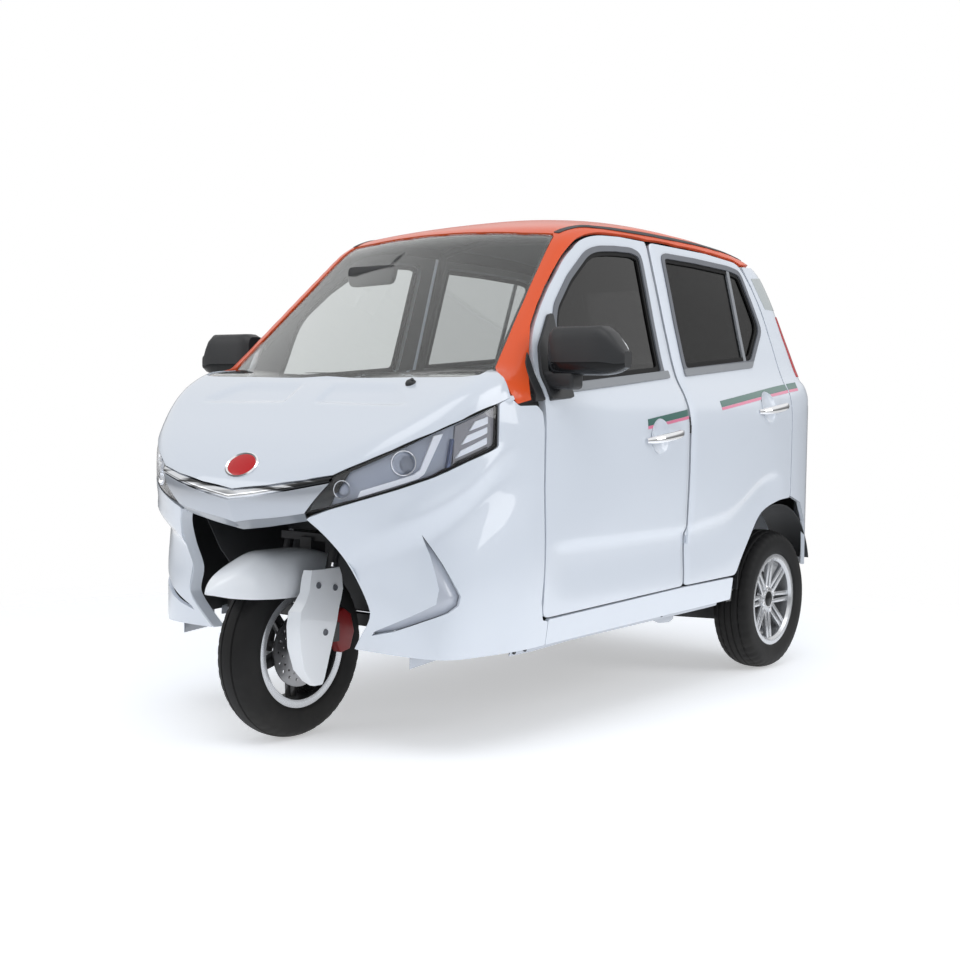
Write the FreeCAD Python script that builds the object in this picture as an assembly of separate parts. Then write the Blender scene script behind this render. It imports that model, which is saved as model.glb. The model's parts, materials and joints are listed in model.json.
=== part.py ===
import FreeCAD, Part
import math
import os

# Enclosed passenger tricycle, in millimetres. +Z up, the front faces -Y, +X is the
# vehicle's left. The origin is on the ground, under the middle of the whole vehicle.

V = FreeCAD.Vector
X_AXIS = V(1, 0, 0)
Y_AXIS = V(0, 1, 0)
Z_AXIS = V(0, 0, 1)

# Stations along the vehicle
nose_y = -1226.0
chin_y = -1035.0
cowl_y = -830.0
fender_rear_y = -611.0
header_y = -321.0
pillar_y = 209.0
roof_top_y = 265.0
door_rear_y = 1005.0
roof_end_y = 980.0
tail_y = 1310.0

# Levels
sill_z = 280.0
sill_top_z = 356.0
bumper_z = 365.0
nose_z = 695.0
shoulder_z = 950.0
cowl_z = 1047.0
belt_z = 1062.0
roof_z = 1608.0
rail_z = roof_z - 103
header_z = roof_z - 99
roof_end_z = roof_z - 96
rail_low_z = 282.0
rail_top_z = 322.0
deck_z = 560.0

# Half widths of the body
sill_x = 600.0
side_x = 618.0
shoulder_x = 628.0
belt_x = 572.0
rail_x = 456.0
screen_foot_x = 528.0
screen_top_x = 418.0

# Front and rear openings
lamp_inner_x = 285.0
opening_x = 282.0
tailgate_x = 420.0
tail_lamp_x = 505.0
tailgate_low_z = 620.0
tail_hinge_y = 1003.0
tail_hinge_z = roof_end_z - 19

# Hinges
hinge_r = 6.0
hinge_pin_r = 2.5
hinge_h = 26.0
hinge_x = shoulder_x
hinge_levels = (520.0, 880.0)

# Plate on the rear bumper
plate_z = 480.0
plate_pitch = 170.0
plate_hole_r = 3.5

# Walls and gaps
wall = 28.0
glass = 5.0
glass_inset = 8.0
door_gap = 6.0
frame_gap = 14.0
running = 0.3
plate_t = 6.0
hollow_depth = 14.0
lip_h = 8.0
seam_h = 3.0
seam_w = 18.0

# Wheels
tyre_r = 256.0
rim_r = 170.0
front_axle_y = -978.0
rear_axle_y = 970.0
front_tyre_w = 112.0
rear_tyre_w = 142.0
rear_track_x = 516.0
axle_r = 10.0
rim_share = 0.8
front_spokes = 5
front_spoke_w = 26.0
spoke_pairs = 8
rear_spoke_w = 15.0
spoke_spread = 8.5
flange_h = 12.0
flange_t = 6.0

# Steering
rake = math.radians(15.0)
steer_offset = 30.0
stem_r = 15.0
fork_x = 92.0
fork_r = 14.0
disc_x = 34.0
disc_r = 108.0
disc_t = 4.0
crown_z = 572.0
head_low_z = 600.0
head_high_z = 820.0
bar_z = 1000.0
bar_half = 250.0
bar_sweep = 230.0
cover_gap = 4.0
cover_hole_r = 8.0

# Chassis
rail_half = 250.0
kick_y = 620.0
pan_half = 560.0
dash_half = 500.0
post_r = 15.0
eye_r = 10.0
eye_t = 12.0
eye_y = 1240.0
eye_z = 345.0

# Front mudguard
guard_tip_y = -1310.0
guard_top_z = 546.0
guard_low_z = 412.0
guard_half = 74.0
guard_t = 4.0

# Seats
seat_w = 440.0
seat_base_h = 260.0
cushion_h = 90.0
bench_h = 130.0
back_h = 520.0
bench_back_h = 520.0
bench_back_t = 95.0
back_angle = -12.0

# Handles and mirrors
handle_l = 230.0
handle_r = 10.0
handle_gap = 14.0
handle_slope = 0.12
front_handle_y = 70.0
front_handle_z = 872.0
rear_handle_y = 850.0
rear_handle_z = 950.0
mirror_x = 662.0
mirror_y = -590.0
mirror_w = 186.0
mirror_h = 137.0


def box(x0, x1, y0, y1, z0, z1):
    return Part.makeBox(x1 - x0, y1 - y0, z1 - z0, V(x0, y0, z0))


def rod(start, end, radius):
    line = end - start
    return Part.makeCylinder(radius, line.Length, start, line)


def pipe(start, end, radius, bore):
    return rod(start, end, radius).cut(rod(start, end, bore))


def mirrored(shape):
    return shape.mirror(V(0, 0, 0), X_AXIS)


def both_sides(shape):
    return [shape, mirrored(shape)]


def fused(shapes):
    whole = shapes[0]
    if len(shapes) > 1:
        whole = shapes[0].multiFuse(shapes[1:])
    return whole.removeSplitter()


def wire_of(steps, place):
    """Closed wire: a step of two numbers is a line, one of four an arc through its first pair."""
    edges = []
    here = place(*steps[0])
    first = here
    for step in steps[1:]:
        there = place(*step[-2:])
        if len(step) == 4:
            edges.append(Part.Arc(here, place(*step[:2]), there).toShape())
        else:
            edges.append(Part.LineSegment(here, there).toShape())
        here = there
    if (here - first).Length > 1e-6:
        edges.append(Part.LineSegment(here, first).toShape())
    return Part.Wire(edges)


def side_prism(steps, x0, x1, grow=0.0):
    """Prism of an outline given as y, z."""
    face = Part.Face(wire_of(steps, lambda y, z: V(x0, y, z)))
    if grow:
        face = face.makeOffset2D(grow, 2)
    return face.extrude(V(x1 - x0, 0, 0))


def plan_prism(steps, z0, z1, grow=0.0):
    """Prism of an outline given as x, y."""
    face = Part.Face(wire_of(steps, lambda x, y: V(x, y, z0)))
    if grow:
        face = face.makeOffset2D(grow, 2)
    return face.extrude(V(0, 0, z1 - z0))


def front_prism(steps, y0, y1, grow=0.0):
    """Prism of an outline given as x, z."""
    face = Part.Face(wire_of(steps, lambda x, z: V(x, y0, z)))
    if grow:
        face = face.makeOffset2D(grow, 2)
    return face.extrude(V(0, y1 - y0, 0))


def belt_line(y):
    """Height of the window sill, which rises to the rear."""
    return belt_z - 57.0 + (y - fender_rear_y) * 0.085


def window_level(share):
    """Height at a share of the way from the belt to the door's top."""
    return belt_z + (rail_z - belt_z) * share


def tail_level(share):
    """Height at a share of the way from the tailgate's waist to the roof's end."""
    waist_z = belt_z + 22
    return waist_z + (roof_end_z - waist_z) * share


def lean(z):
    """Half width of the glass plane at a height."""
    return belt_x - (z - belt_z) * (belt_x - rail_x) / (rail_z - belt_z)


def lower_body(inset):
    """Bonnet and sides up to the belt, moved inwards by the inset."""
    drop = 150.0 if inset else 0.0
    nose_low = nose_z - 81
    side = [
        (chin_y + drop * 0.48, sill_z - drop),
        (nose_y + 32, nose_low),
        (nose_y, nose_z),
        (nose_y + 6, nose_z + 29),
        (nose_y + 46, nose_z + 87),
        (cowl_y - 190, cowl_z - 129, cowl_y, cowl_z),
        (cowl_y + 90, belt_z),
        (tail_y - 118, belt_z),
        (tail_y - 60, shoulder_z + 10, tail_y, shoulder_z - 140),
        (tail_y, sill_z - drop),
    ]
    plan = [
        (-300, nose_y + 36),
        (0, nose_y, 300, nose_y + 36),
        (458, nose_y + 113, 555, nose_y + 266),
        (600, cowl_y + 5),
        (shoulder_x - 3, fender_rear_y + 20),
        (shoulder_x, pillar_y),
        (shoulder_x - 3, rear_axle_y - 370),
        (shoulder_x - 10, rear_axle_y - 90, shoulder_x - 30, rear_axle_y + 180),
        (shoulder_x - 66, tail_y - 47, 450, tail_y),
        (-450, tail_y),
        (-shoulder_x + 66, tail_y - 47, -shoulder_x + 30, rear_axle_y + 180),
        (-shoulder_x + 10, rear_axle_y - 90, -shoulder_x + 3, rear_axle_y - 370),
        (-shoulder_x, pillar_y),
        (-shoulder_x + 3, fender_rear_y + 20),
        (-600, cowl_y + 5),
        (-555, nose_y + 266),
        (-458, nose_y + 113, -300, nose_y + 36),
    ]
    half = [
        (sill_x, sill_z - drop),
        (sill_x + 15, sill_top_z + 29),
        (side_x, sill_top_z + 94),
        (shoulder_x, shoulder_z),
        (belt_x, belt_z),
    ]
    section = half + [(-x, z) for x, z in reversed(half)]
    solid = side_prism(side, -800, 800, -inset)
    solid = solid.common(plan_prism(plan, sill_z - 200, belt_z + 50, -inset))
    return solid.common(front_prism(section, -1500, 1500, -inset))


def screen_slope():
    """Step along the windscreen, from its foot to its top."""
    return V(0, header_y - cowl_y, header_z - cowl_z)


def greenhouse(inset):
    """Cab above the belt, moved inwards by the inset."""
    bottom = 1000.0 - inset
    rise = screen_slope()
    side = [
        (cowl_y - 150, bottom),
        (cowl_y - 100, cowl_z),
        (header_y - 60, header_z + 2),
        (header_y, header_z),
        (-40, roof_z - 38, roof_top_y, roof_z),
        (640, roof_z - 25, roof_end_y, roof_end_z),
        (roof_end_y + 55, tail_level(0.86)),
        (roof_end_y + 125, tail_level(0.57)),
        (tail_y - 120, tail_level(0.0)),
        (tail_y - 100, bottom),
    ]
    half = [
        (lean(bottom - 60), bottom - 60),
        (rail_x, rail_z),
        (rail_x - 14, rail_z + 28),
    ]
    section = half + [(0, roof_z + 4, -rail_x + 14, rail_z + 28)]
    section = section + [(-x, z) for x, z in reversed(half[:2])]
    solid = side_prism(side, -800, 800, -inset)
    solid = solid.common(front_prism(section, -1500, 1500, -inset))
    edge = (screen_foot_x * 1.35) ** 2 * 3.44e-4
    ahead = inset / math.sin(math.atan2(rise.z, rise.y))
    foot = cowl_y + ahead - rise.y * 0.3
    low = cowl_z - rise.z * 0.3
    wide = screen_foot_x * 1.35
    front = Part.Wire([
        Part.Arc(V(-wide, foot + edge, low), V(0, foot, low), V(wide, foot + edge, low)).toShape(),
        Part.LineSegment(V(wide, foot + edge, low), V(wide, foot + 2600, low)).toShape(),
        Part.LineSegment(V(wide, foot + 2600, low), V(-wide, foot + 2600, low)).toShape(),
        Part.LineSegment(V(-wide, foot + 2600, low), V(-wide, foot + edge, low)).toShape(),
    ])
    behind = Part.Face(front).extrude(rise * 1.8)
    return solid.common(behind)


def body_volume(inset):
    return lower_body(inset).fuse(greenhouse(inset))


def front_door_outline():
    rear = pillar_y - 4
    return [
        (fender_rear_y + door_gap, sill_top_z + door_gap),
        (rear, sill_top_z + 26),
        (rear, belt_z),
        (rear - 4, rail_z + 2),
        (fender_rear_y + 514, window_level(0.989)),
        (fender_rear_y + 390, window_level(0.921)),
        (fender_rear_y + 292, window_level(0.786)),
        (fender_rear_y + 178, window_level(0.564)),
        (fender_rear_y + 55, window_level(0.289)),
        (fender_rear_y + 15, window_level(0.095)),
        (fender_rear_y + door_gap, belt_z - 62),
    ]


def rear_door_outline(ease=0.0):
    """The ease draws the upper rear edge in, where the open door swings rearwards."""
    front = pillar_y + 4
    return [
        (front, sill_top_z + 26),
        (rear_axle_y - 404, sill_top_z + 30),
        (rear_axle_y - 325, sill_top_z + 139),
        (rear_axle_y - 255, sill_top_z + 212, rear_axle_y - 155, sill_top_z + 258),
        (rear_axle_y - 60, sill_top_z + 276),
        (door_rear_y, sill_top_z + 280),
        (door_rear_y, shoulder_z - 100),
        (door_rear_y - ease / 2, belt_z - 60),
        (door_rear_y - ease, belt_z),
        (door_rear_y - ease - 35, window_level(0.537)),
        (door_rear_y - ease - 125, window_level(0.898)),
        (door_rear_y - ease - 180, rail_z - 12),
        (front + 4, rail_z + 2 - ease / 4),
        (front, belt_z),
    ]


def front_window_outline():
    return [
        (fender_rear_y + 125, belt_line(fender_rear_y + 125)),
        (pillar_y - 86, belt_line(pillar_y - 86)),
        (pillar_y - 72, window_level(0.896)),
        (pillar_y - 126, window_level(0.925)),
        (fender_rear_y + 500, window_level(0.898)),
        (fender_rear_y + 410, window_level(0.837)),
        (fender_rear_y + 285, window_level(0.65)),
        (fender_rear_y + 186, window_level(0.451)),
        (fender_rear_y + 150, window_level(0.271)),
    ]


def rear_window_outline():
    return [
        (pillar_y + 60, belt_line(pillar_y + 60)),
        (door_rear_y - 225, belt_line(door_rear_y - 225)),
        (door_rear_y - 92, window_level(0.424)),
        (door_rear_y - 165, window_level(0.883)),
        (door_rear_y - 255, window_level(0.91)),
        (pillar_y + 66, window_level(0.914)),
    ]


def quarter_bar_outline():
    top = door_rear_y - 248
    foot = door_rear_y - 265
    return [(foot, belt_z - 40), (foot + 16, belt_z - 40), (top + 16, rail_z), (top, rail_z)]


def arch_outline():
    return [
        (rear_axle_y - 420, 0),
        (rear_axle_y - 404, sill_top_z + 30),
        (rear_axle_y - 325, sill_top_z + 139),
        (rear_axle_y - 255, sill_top_z + 212, rear_axle_y - 155, sill_top_z + 258),
        (rear_axle_y - 60, sill_top_z + 276),
        (rear_axle_y + 40, sill_top_z + 278),
        (rear_axle_y + 190, sill_top_z + 235, rear_axle_y + 262, bumper_z),
        (rear_axle_y + 262, 0),
    ]


def bonnet_outline():
    return [
        (nose_y - 30, nose_z + 13),
        (nose_y + 86, nose_z + 75),
        (cowl_y + 40, belt_z - 99),
        (cowl_y + 115, belt_z - 77),
        (cowl_y + 125, belt_z + 60),
        (nose_y - 30, belt_z + 60),
    ]


def lamp_outline():
    return [
        (nose_y - 10, nose_z - 42),
        (nose_y + 266, nose_z + 100),
        (cowl_y + 5, nose_z + 154),
        (cowl_y + 42, belt_z - 99),
        (nose_y + 86, nose_z + 75),
        (nose_y - 10, nose_z + 24),
    ]


def hollow_outline():
    """Boomerang-shaped hollow of the front corner, in the side view."""
    corner_y = chin_y + 17
    return [
        (corner_y, 616),
        (chin_y + 55, 543),
        (chin_y + 84, 478, chin_y + 92, 450),
        (chin_y + 90, 428, chin_y + 67, 411),
        (corner_y, 382),
        (chin_y - 16, 352),
        (chin_y - 27, 337),
        (chin_y - 28, 346),
        (chin_y - 18, 375),
        (corner_y, 411),
        (chin_y + 43, 434),
        (chin_y + 45, 472),
        (chin_y + 40, 517),
    ]


def nose_outline():
    return [
        (-lamp_inner_x + 15, nose_z - 24),
        (0, nose_z - 81),
        (lamp_inner_x - 15, nose_z - 24),
        (lamp_inner_x, nose_z - 18),
        (lamp_inner_x, nose_z + 90),
        (-lamp_inner_x, nose_z + 90),
        (-lamp_inner_x, nose_z - 18),
    ]


def roof_outline():
    """Everything above the doors, down the windscreen pillars."""
    return [
        (cowl_y - 100, belt_z - 77),
        (cowl_y + 115, belt_z - 77),
        (cowl_y + 140, belt_z - 99),
        (fender_rear_y, belt_z - 54),
        (fender_rear_y + 60, belt_z + 20),
        (fender_rear_y + 500, window_level(0.82)),
        (door_rear_y - 200, window_level(0.932)),
        (door_rear_y - 110, rail_z - 18),
        (tail_hinge_y + 80, rail_z - 18),
        (tail_hinge_y + 80, roof_z + 60),
        (cowl_y - 100, roof_z + 60),
    ]


def screen_outline():
    return [
        (-screen_foot_x, cowl_z + 10),
        (0, cowl_z, screen_foot_x, cowl_z + 10),
        (screen_top_x, header_z - 24),
        (0, header_z, -screen_top_x, header_z - 24),
    ]


def side_hinge(y, z, leaf_x):
    """Barrel hinge on a door's front edge: fixed knuckle and pin, moving knuckle, room."""
    foot = V(hinge_x, y, z)
    mid = foot + V(0, 0, hinge_h)
    top = mid + V(0, 0, hinge_h)
    fixed = rod(foot, mid - V(0, 0, running), hinge_r)
    fixed = fixed.fuse(box(leaf_x, hinge_x, y - 1.5, y + 1.5, z, z + hinge_h - running))
    fixed = fixed.fuse(rod(foot, top, hinge_pin_r))
    moving = rod(mid, top, hinge_r).fuse(box(hinge_x - 20, hinge_x, y, y + 12, mid.z, top.z))
    moving = moving.cut(rod(mid, top, hinge_pin_r + running))
    return fixed, moving


def hinge_room(y, z):
    """Space that the knuckles need in the panels on both sides of the gap."""
    return rod(V(hinge_x, y, z - 2), V(hinge_x, y, z + 2 * hinge_h + 2), hinge_r + 3)


def side_glass(outline, grow):
    """Flat pane in the leaning side plane."""
    low = belt_z - 90
    high = rail_z + 20
    near = glass_inset
    far = glass_inset + glass
    slab = front_prism([
        (lean(low) - near, low),
        (lean(high) - near, high),
        (lean(high) - far, high),
        (lean(low) - far, low),
    ], -1000, 1300)
    return slab.common(side_prism(outline, 0, 900, grow))


def door(skin, outline, window, hinge_y):
    solid = skin.common(side_prism(outline, 200, 900))
    solid = solid.cut(side_prism(window, 200, 900))
    for level in hinge_levels:
        solid = solid.cut(hinge_room(hinge_y, level))
    return solid


def window_seam(outline, raised):
    """Raised trim round a window, on the door's skin."""
    ring = side_prism(outline, 300, 900, seam_w).cut(side_prism(outline, 200, 1000))
    return raised.common(ring)


def front_door(skin, raised):
    y = fender_rear_y + door_gap / 2
    solid = door(skin, front_door_outline(), front_window_outline(), y)
    seam = window_seam(front_window_outline(), raised)
    solid = solid.fuse(seam.cut(side_prism(mirror_foot_outline(), 300, 900, running)))
    for level in hinge_levels:
        solid = solid.fuse(side_hinge(y, level, sill_x)[1])
        room = box(sill_x - 10, shoulder_x + 22, pillar_y - 14, pillar_y, level - 5, level + 2 * hinge_h + 5)
        solid = solid.cut(room)
    return solid


def rear_door(skin, raised):
    outline = rear_door_outline(frame_gap - door_gap)
    solid = door(skin, outline, rear_window_outline(), pillar_y)
    solid = solid.fuse(window_seam(rear_window_outline(), raised))
    divider = skin.common(side_prism(quarter_bar_outline(), 200, 900))
    divider = divider.common(side_prism(outline, 200, 900))
    solid = solid.fuse(divider)
    for level in hinge_levels:
        solid = solid.fuse(side_hinge(pillar_y, level, sill_x)[1])
    return solid.removeSplitter()


def front_glass():
    return side_glass(front_window_outline(), 0.0)


def rear_glass():
    pane = side_glass(rear_window_outline(), 0.0)
    return pane.cut(side_prism(quarter_bar_outline(), 200, 900))


def handle(y, z, outer):
    """Pull handle: a bar on two feet, standing on the door skin."""
    bar_x = shoulder_x + handle_gap + handle_r
    tilt = handle_l * handle_slope
    feet = []
    for share in (-0.4, 0.4):
        foot = V(shoulder_x - 60, y + handle_l * share, z + tilt * share)
        feet.append(rod(foot, V(bar_x, foot.y, foot.z), handle_r - 1))
    start = V(bar_x, y - handle_l / 2, z - tilt / 2)
    end = V(bar_x, y + handle_l / 2, z + tilt / 2)
    return fused([rod(start, end, handle_r)] + feet).cut(outer)


def mirror_foot_outline():
    """Triangle in front of the window, the mirror's foot."""
    return [
        (fender_rear_y + 28, belt_z - 60),
        (fender_rear_y + 122, belt_z - 50),
        (fender_rear_y + 146, belt_z + 118),
        (fender_rear_y + 70, belt_z + 40),
    ]


def mirror_piece(outer):
    """Door mirror: head, arm and the triangular foot on the door."""
    head = box(mirror_x, mirror_x + mirror_w, mirror_y, mirror_y + 95, belt_z - 12, belt_z + mirror_h - 12)
    head = head.makeFillet(26, head.Edges)
    arm = box(mirror_x - 130, mirror_x + 30, mirror_y + 30, mirror_y + 70, belt_z, belt_z + 30)
    low = belt_z - 90
    high = belt_z + 150
    slab = front_prism([
        (lean(low) - 10, low),
        (lean(high) - 10, high),
        (lean(high) + 5, high),
        (lean(low) + 5, low),
    ], fender_rear_y, pillar_y)
    foot = slab.common(side_prism(mirror_foot_outline(), 300, 900))
    return fused([head, arm, foot]).cut(outer)


def tyre(width, x):
    half = width / 2
    shoulder = 0.72 * half
    bead = rim_r - flange_h - 2
    seat = half * rim_share - flange_t - running
    lip = bead + flange_h + running
    steps = [
        (x - seat, bead),
        (x - seat, lip),
        (x - half * 0.88, lip),
        (x - half * 0.97, rim_r + 14, x - half, (tyre_r + rim_r) / 2),
        (x - half, tyre_r - 34, x - shoulder, tyre_r - 8),
        (x, tyre_r, x + shoulder, tyre_r - 8),
        (x + half, tyre_r - 34, x + half, (tyre_r + rim_r) / 2),
        (x + half * 0.97, rim_r + 14, x + half * 0.88, lip),
        (x + seat, lip),
        (x + seat, bead),
    ]
    return spun(steps)


def spun(steps):
    """Turn an outline of x and radius about the X axis."""
    face = Part.Face(wire_of(steps, lambda x, r: V(x, 0, r)))
    return face.revolve(V(0, 0, 0), X_AXIS, 360)


def rim(width, x, spokes, spoke_w, dish, leans=(0.0,)):
    """Wheel: barrel with lips, hub and spokes, bored for its axle; leans turn a spoke's fellows."""
    half = width / 2 * rim_share
    bead = rim_r - flange_h - 2
    barrel = spun([
        (x - half, bead - 12),
        (x - half, bead + flange_h),
        (x - half + flange_t, bead + flange_h),
        (x - half + flange_t, bead - running),
        (x + half - flange_t, bead - running),
        (x + half - flange_t, bead + flange_h),
        (x + half, bead + flange_h),
        (x + half, bead - 12),
        (x + half - 14, bead - 18),
        (x - half + 14, bead - 18),
    ])
    hub = spun([
        (x + dish - 30, axle_r + running),
        (x + dish - 30, 44),
        (x + dish + 14, 40),
        (x + dish + 14, axle_r + running),
    ])
    arms = []
    for n in range(spokes):
        for turn in leans:
            arm = box(x + dish - 14, x + dish + 8, -spoke_w / 2, spoke_w / 2, 34, bead - 10)
            arm.rotate(V(0, 0, 0), X_AXIS, 360.0 * n / spokes + turn)
            arms.append(arm)
    return fused([barrel, hub] + arms)


def at_front_axle(shape):
    shape.translate(V(0, front_axle_y, tyre_r))
    return shape


def at_rear_axle(shape):
    shape.translate(V(0, rear_axle_y, tyre_r))
    return shape


def on_steer_axis(z):
    """Point of the raked steering axis at a height."""
    return V(0, front_axle_y + steer_offset + (z - tyre_r) * math.tan(rake), z)


def on_fork_leg(x, z):
    return V(x, front_axle_y + (z - tyre_r) * math.tan(rake), z)


def brake_disc():
    """Disc and the carrier that joins it to the hub."""
    return spun([
        (0, axle_r + running),
        (0, 40),
        (disc_x, 40),
        (disc_x, disc_r),
        (disc_x + disc_t, disc_r),
        (disc_x + disc_t, axle_r + running),
    ])


def caliper():
    """Brake caliper round the disc, behind the axle, held by the left leg."""
    block = box(disc_x - 14, fork_x, 58, 104, 16, 70)
    slot = rod(V(disc_x - 4, 0, 0), V(disc_x + disc_t + 4, 0, 0), disc_r + 4)
    arm = box(fork_x - 8, fork_x + 8, 0, 70, 40, 66)
    return at_front_axle(block.cut(slot).fuse(arm))


def steering_fork():
    """Legs, crown, stem and axle of the front fork."""
    parts = [rod(V(-fork_x, front_axle_y, tyre_r), V(fork_x, front_axle_y, tyre_r), axle_r)]
    for x in (-fork_x, fork_x):
        parts.append(rod(on_fork_leg(x, tyre_r - 20), on_fork_leg(x, crown_z), fork_r))
    mid = on_fork_leg(0, crown_z)
    reach = fork_x + fork_r + 2
    parts.append(box(-reach, reach, mid.y - 20, mid.y + 52, crown_z - 10, crown_z + 12))
    parts.append(rod(on_steer_axis(crown_z), on_steer_axis(head_high_z + 60), stem_r - running))
    parts.append(caliper())
    for side in (-1, 1):
        for z in (tyre_r + 30, tyre_r + 190):
            near = on_fork_leg(side * fork_x, z)
            far = near + V(side * (fork_r + cover_gap), 0, 0)
            parts.append(rod(near, far, 8))
    bracket = box(-22, 22, mid.y - 30, mid.y + 30, guard_top_z - 40, crown_z)
    parts.append(bracket.cut(guard_volume(0.0)))
    whole = parts[0]
    for piece in parts[1:]:
        whole = whole.fuse(piece)
    return whole


def handlebar():
    """Bar on the stem's upper end, swept back to the driver."""
    stem = rod(on_steer_axis(head_high_z + 60), on_steer_axis(bar_z), stem_r - 2)
    top = on_steer_axis(bar_z)
    parts = [stem, Part.makeSphere(20, top)]
    for side in (-1, 1):
        knee = top + V(side * bar_half / 2, bar_sweep / 4, 12)
        grip = top + V(side * bar_half, bar_sweep, 0)
        parts.append(rod(top, knee, 11))
        parts.append(Part.makeSphere(13, knee))
        parts.append(rod(knee, grip, 11))
        parts.append(rod(knee + (grip - knee) * 0.4, grip, 16))
    whole = parts[0]
    for piece in parts[1:]:
        whole = whole.fuse(piece)
    return whole


def guard_volume(inset):
    """Closed form of the front mudguard, moved inwards by the inset."""
    low = guard_low_z - (80.0 if inset else 0.0)
    top = front_axle_y - 5
    side = [
        (guard_tip_y + 22, low),
        (guard_tip_y, guard_low_z + 28),
        (guard_tip_y + 55, guard_top_z - 62),
        (guard_tip_y + 130, guard_top_z - 26),
        (top - 90, guard_top_z - 4),
        (top, guard_top_z),
        (top + 90, guard_top_z - 14),
        (top + 175, guard_top_z - 55),
        (top + 235, guard_low_z + 20),
        (top + 250, low),
    ]
    half = [
        (guard_half, top + 260),
        (guard_half, top - 60),
        (guard_half * 0.86, top - 205),
        (guard_half * 0.55, top - 285),
        (20, guard_tip_y),
    ]
    plan = half + [(-x, y) for x, y in reversed(half)]
    half = [
        (guard_half, low),
        (guard_half, guard_top_z - 60),
        (guard_half * 0.78, guard_top_z - 22),
        (guard_half * 0.4, guard_top_z - 4),
    ]
    arch = half + [(-x, z) for x, z in reversed(half)]
    solid = side_prism(side, -200, 200, -inset)
    solid = solid.common(plan_prism(plan, low - 50, guard_top_z + 50, -inset))
    return solid.common(front_prism(arch, guard_tip_y - 50, top + 300, -inset))


def front_mudguard():
    """Beaked guard over the front tyre, with its stays to the fork legs."""
    return guard_volume(0.0).cut(guard_volume(guard_t))


def fork_cover(x):
    """White plate over one fork leg."""
    plate = side_prism([
        (front_axle_y - 75, tyre_r + 235),
        (front_axle_y + 58, tyre_r + 235),
        (front_axle_y + 82, tyre_r + 130),
        (front_axle_y + 30, tyre_r - 50),
        (front_axle_y - 12, tyre_r - 95),
        (front_axle_y - 90, tyre_r + 60),
        (front_axle_y - 132, tyre_r + 130),
    ], x, x + 5)
    for ahead, above in ((-18, 192), (50, 180), (10, 56)):
        y = front_axle_y + ahead
        z = tyre_r + above
        plate = plate.cut(rod(V(x - 1, y, z), V(x + 6, y, z), cover_hole_r))
    return plate


def head_tube():
    return pipe(on_steer_axis(head_low_z), on_steer_axis(head_high_z), stem_r + 10, stem_r)


def steering_neck(frame):
    """Steering head and the tubes that carry it, standing on the frame's rails."""
    mid_z = (rail_low_z + rail_top_z) / 2
    front = fender_rear_y - 80
    parts = [head_tube()]
    for side in (-1, 1):
        foot = V(side * rail_half, front + 24, mid_z)
        knee = V(side * 150, front + 20, head_low_z + 40)
        neck = on_steer_axis(head_high_z - 60) + V(side * 14, 12, 0)
        parts.append(rod(foot, knee, 17))
        parts.append(rod(knee, neck, 17))
        parts.append(Part.makeSphere(18, knee))
    stem_hole = rod(on_steer_axis(head_low_z - 40), on_steer_axis(head_high_z + 40), stem_r)
    return fused(parts).cut(stem_hole).cut(frame)


def chassis_frame(inner):
    """Rails, cross members and the step up to the rear deck, behind the floor's riser."""
    deck_low = deck_z - plate_t
    front = fender_rear_y - 80
    step_y = kick_y + plate_t
    parts = []
    for side in (-1, 1):
        x = side * rail_half
        parts.append(box(x - 20, x + 20, front, step_y + 40, rail_low_z, rail_top_z))
        parts.append(box(x - 20, x + 20, step_y, step_y + 40, rail_low_z, deck_low))
        parts.append(box(x - 20, x + 20, step_y, tail_y - 90, deck_low - 36, deck_low))
    for y in (front + 24, -100, 300, kick_y - 20):
        beam = box(-shoulder_x, shoulder_x, y - 18, y + 18, rail_low_z + 4, rail_top_z)
        parts.append(beam.common(inner))
    for y in (step_y + 20, tail_y - 110):
        parts.append(box(-rail_half, rail_half, y - 18, y + 18, deck_low - 36, deck_low))
    frame = fused(parts)
    eye = box(-eye_t / 2, eye_t / 2, tail_y - 125, eye_y + eye_r + 14, eye_z - eye_r - 14, deck_low)
    eye = eye.cut(rod(V(-50, eye_y, eye_z), V(50, eye_y, eye_z), eye_r))
    return frame.fuse(eye).removeSplitter()


def floor_pan(inner):
    """Floor, front bulkhead, rear riser, deck and the wells over the rear wheels."""
    t = plate_t
    front = fender_rear_y - 30
    side = shoulder_x
    floor = box(-side, side, front, kick_y + t, rail_top_z, rail_top_z + t)
    bulkhead = box(-side, side, front, front + t, rail_top_z, shoulder_z - 40)
    rear_flange = box(-side, side, door_rear_y + 15, tail_y, deck_z - t, deck_z)
    parts = [floor.common(inner), bulkhead.common(inner), rear_flange.common(inner)]
    parts.append(box(-pan_half, pan_half, kick_y, kick_y + t, rail_top_z, deck_z))
    parts.append(box(-pan_half, pan_half, kick_y, door_rear_y + 20, deck_z - t, deck_z))
    x0 = rear_track_x - rear_tyre_w / 2 - 40
    y0 = rear_axle_y - tyre_r - 50
    y1 = rear_axle_y + tyre_r + 50
    well = box(x0, pan_half, y0, y1, deck_z - t, deck_z + 75)
    room = box(x0 + t, shoulder_x, y0 + t, y1 - t, deck_z - 40, deck_z + 75 - t)
    whole = fused(parts + both_sides(well))
    for side in both_sides(room):
        whole = whole.cut(side)
    return whole.removeSplitter().common(inner)


def b_post(side):
    """Post between the doors, from the floor to the roof, with the rear door's hinges."""
    back = wall + 8 + post_r
    levels = [
        (sill_x - back, rail_top_z + plate_t - 20),
        (side_x - back, shoulder_z - 60),
        (belt_x - back, belt_z),
        (lean(rail_z) - back, rail_z),
    ]
    points = [V(side * x, pillar_y, z) for x, z in levels]
    parts = [rod(a, b, post_r) for a, b in zip(points, points[1:])]
    parts += [Part.makeSphere(post_r, p) for p in points[1:]]
    return fused(parts), points[-1]


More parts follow.
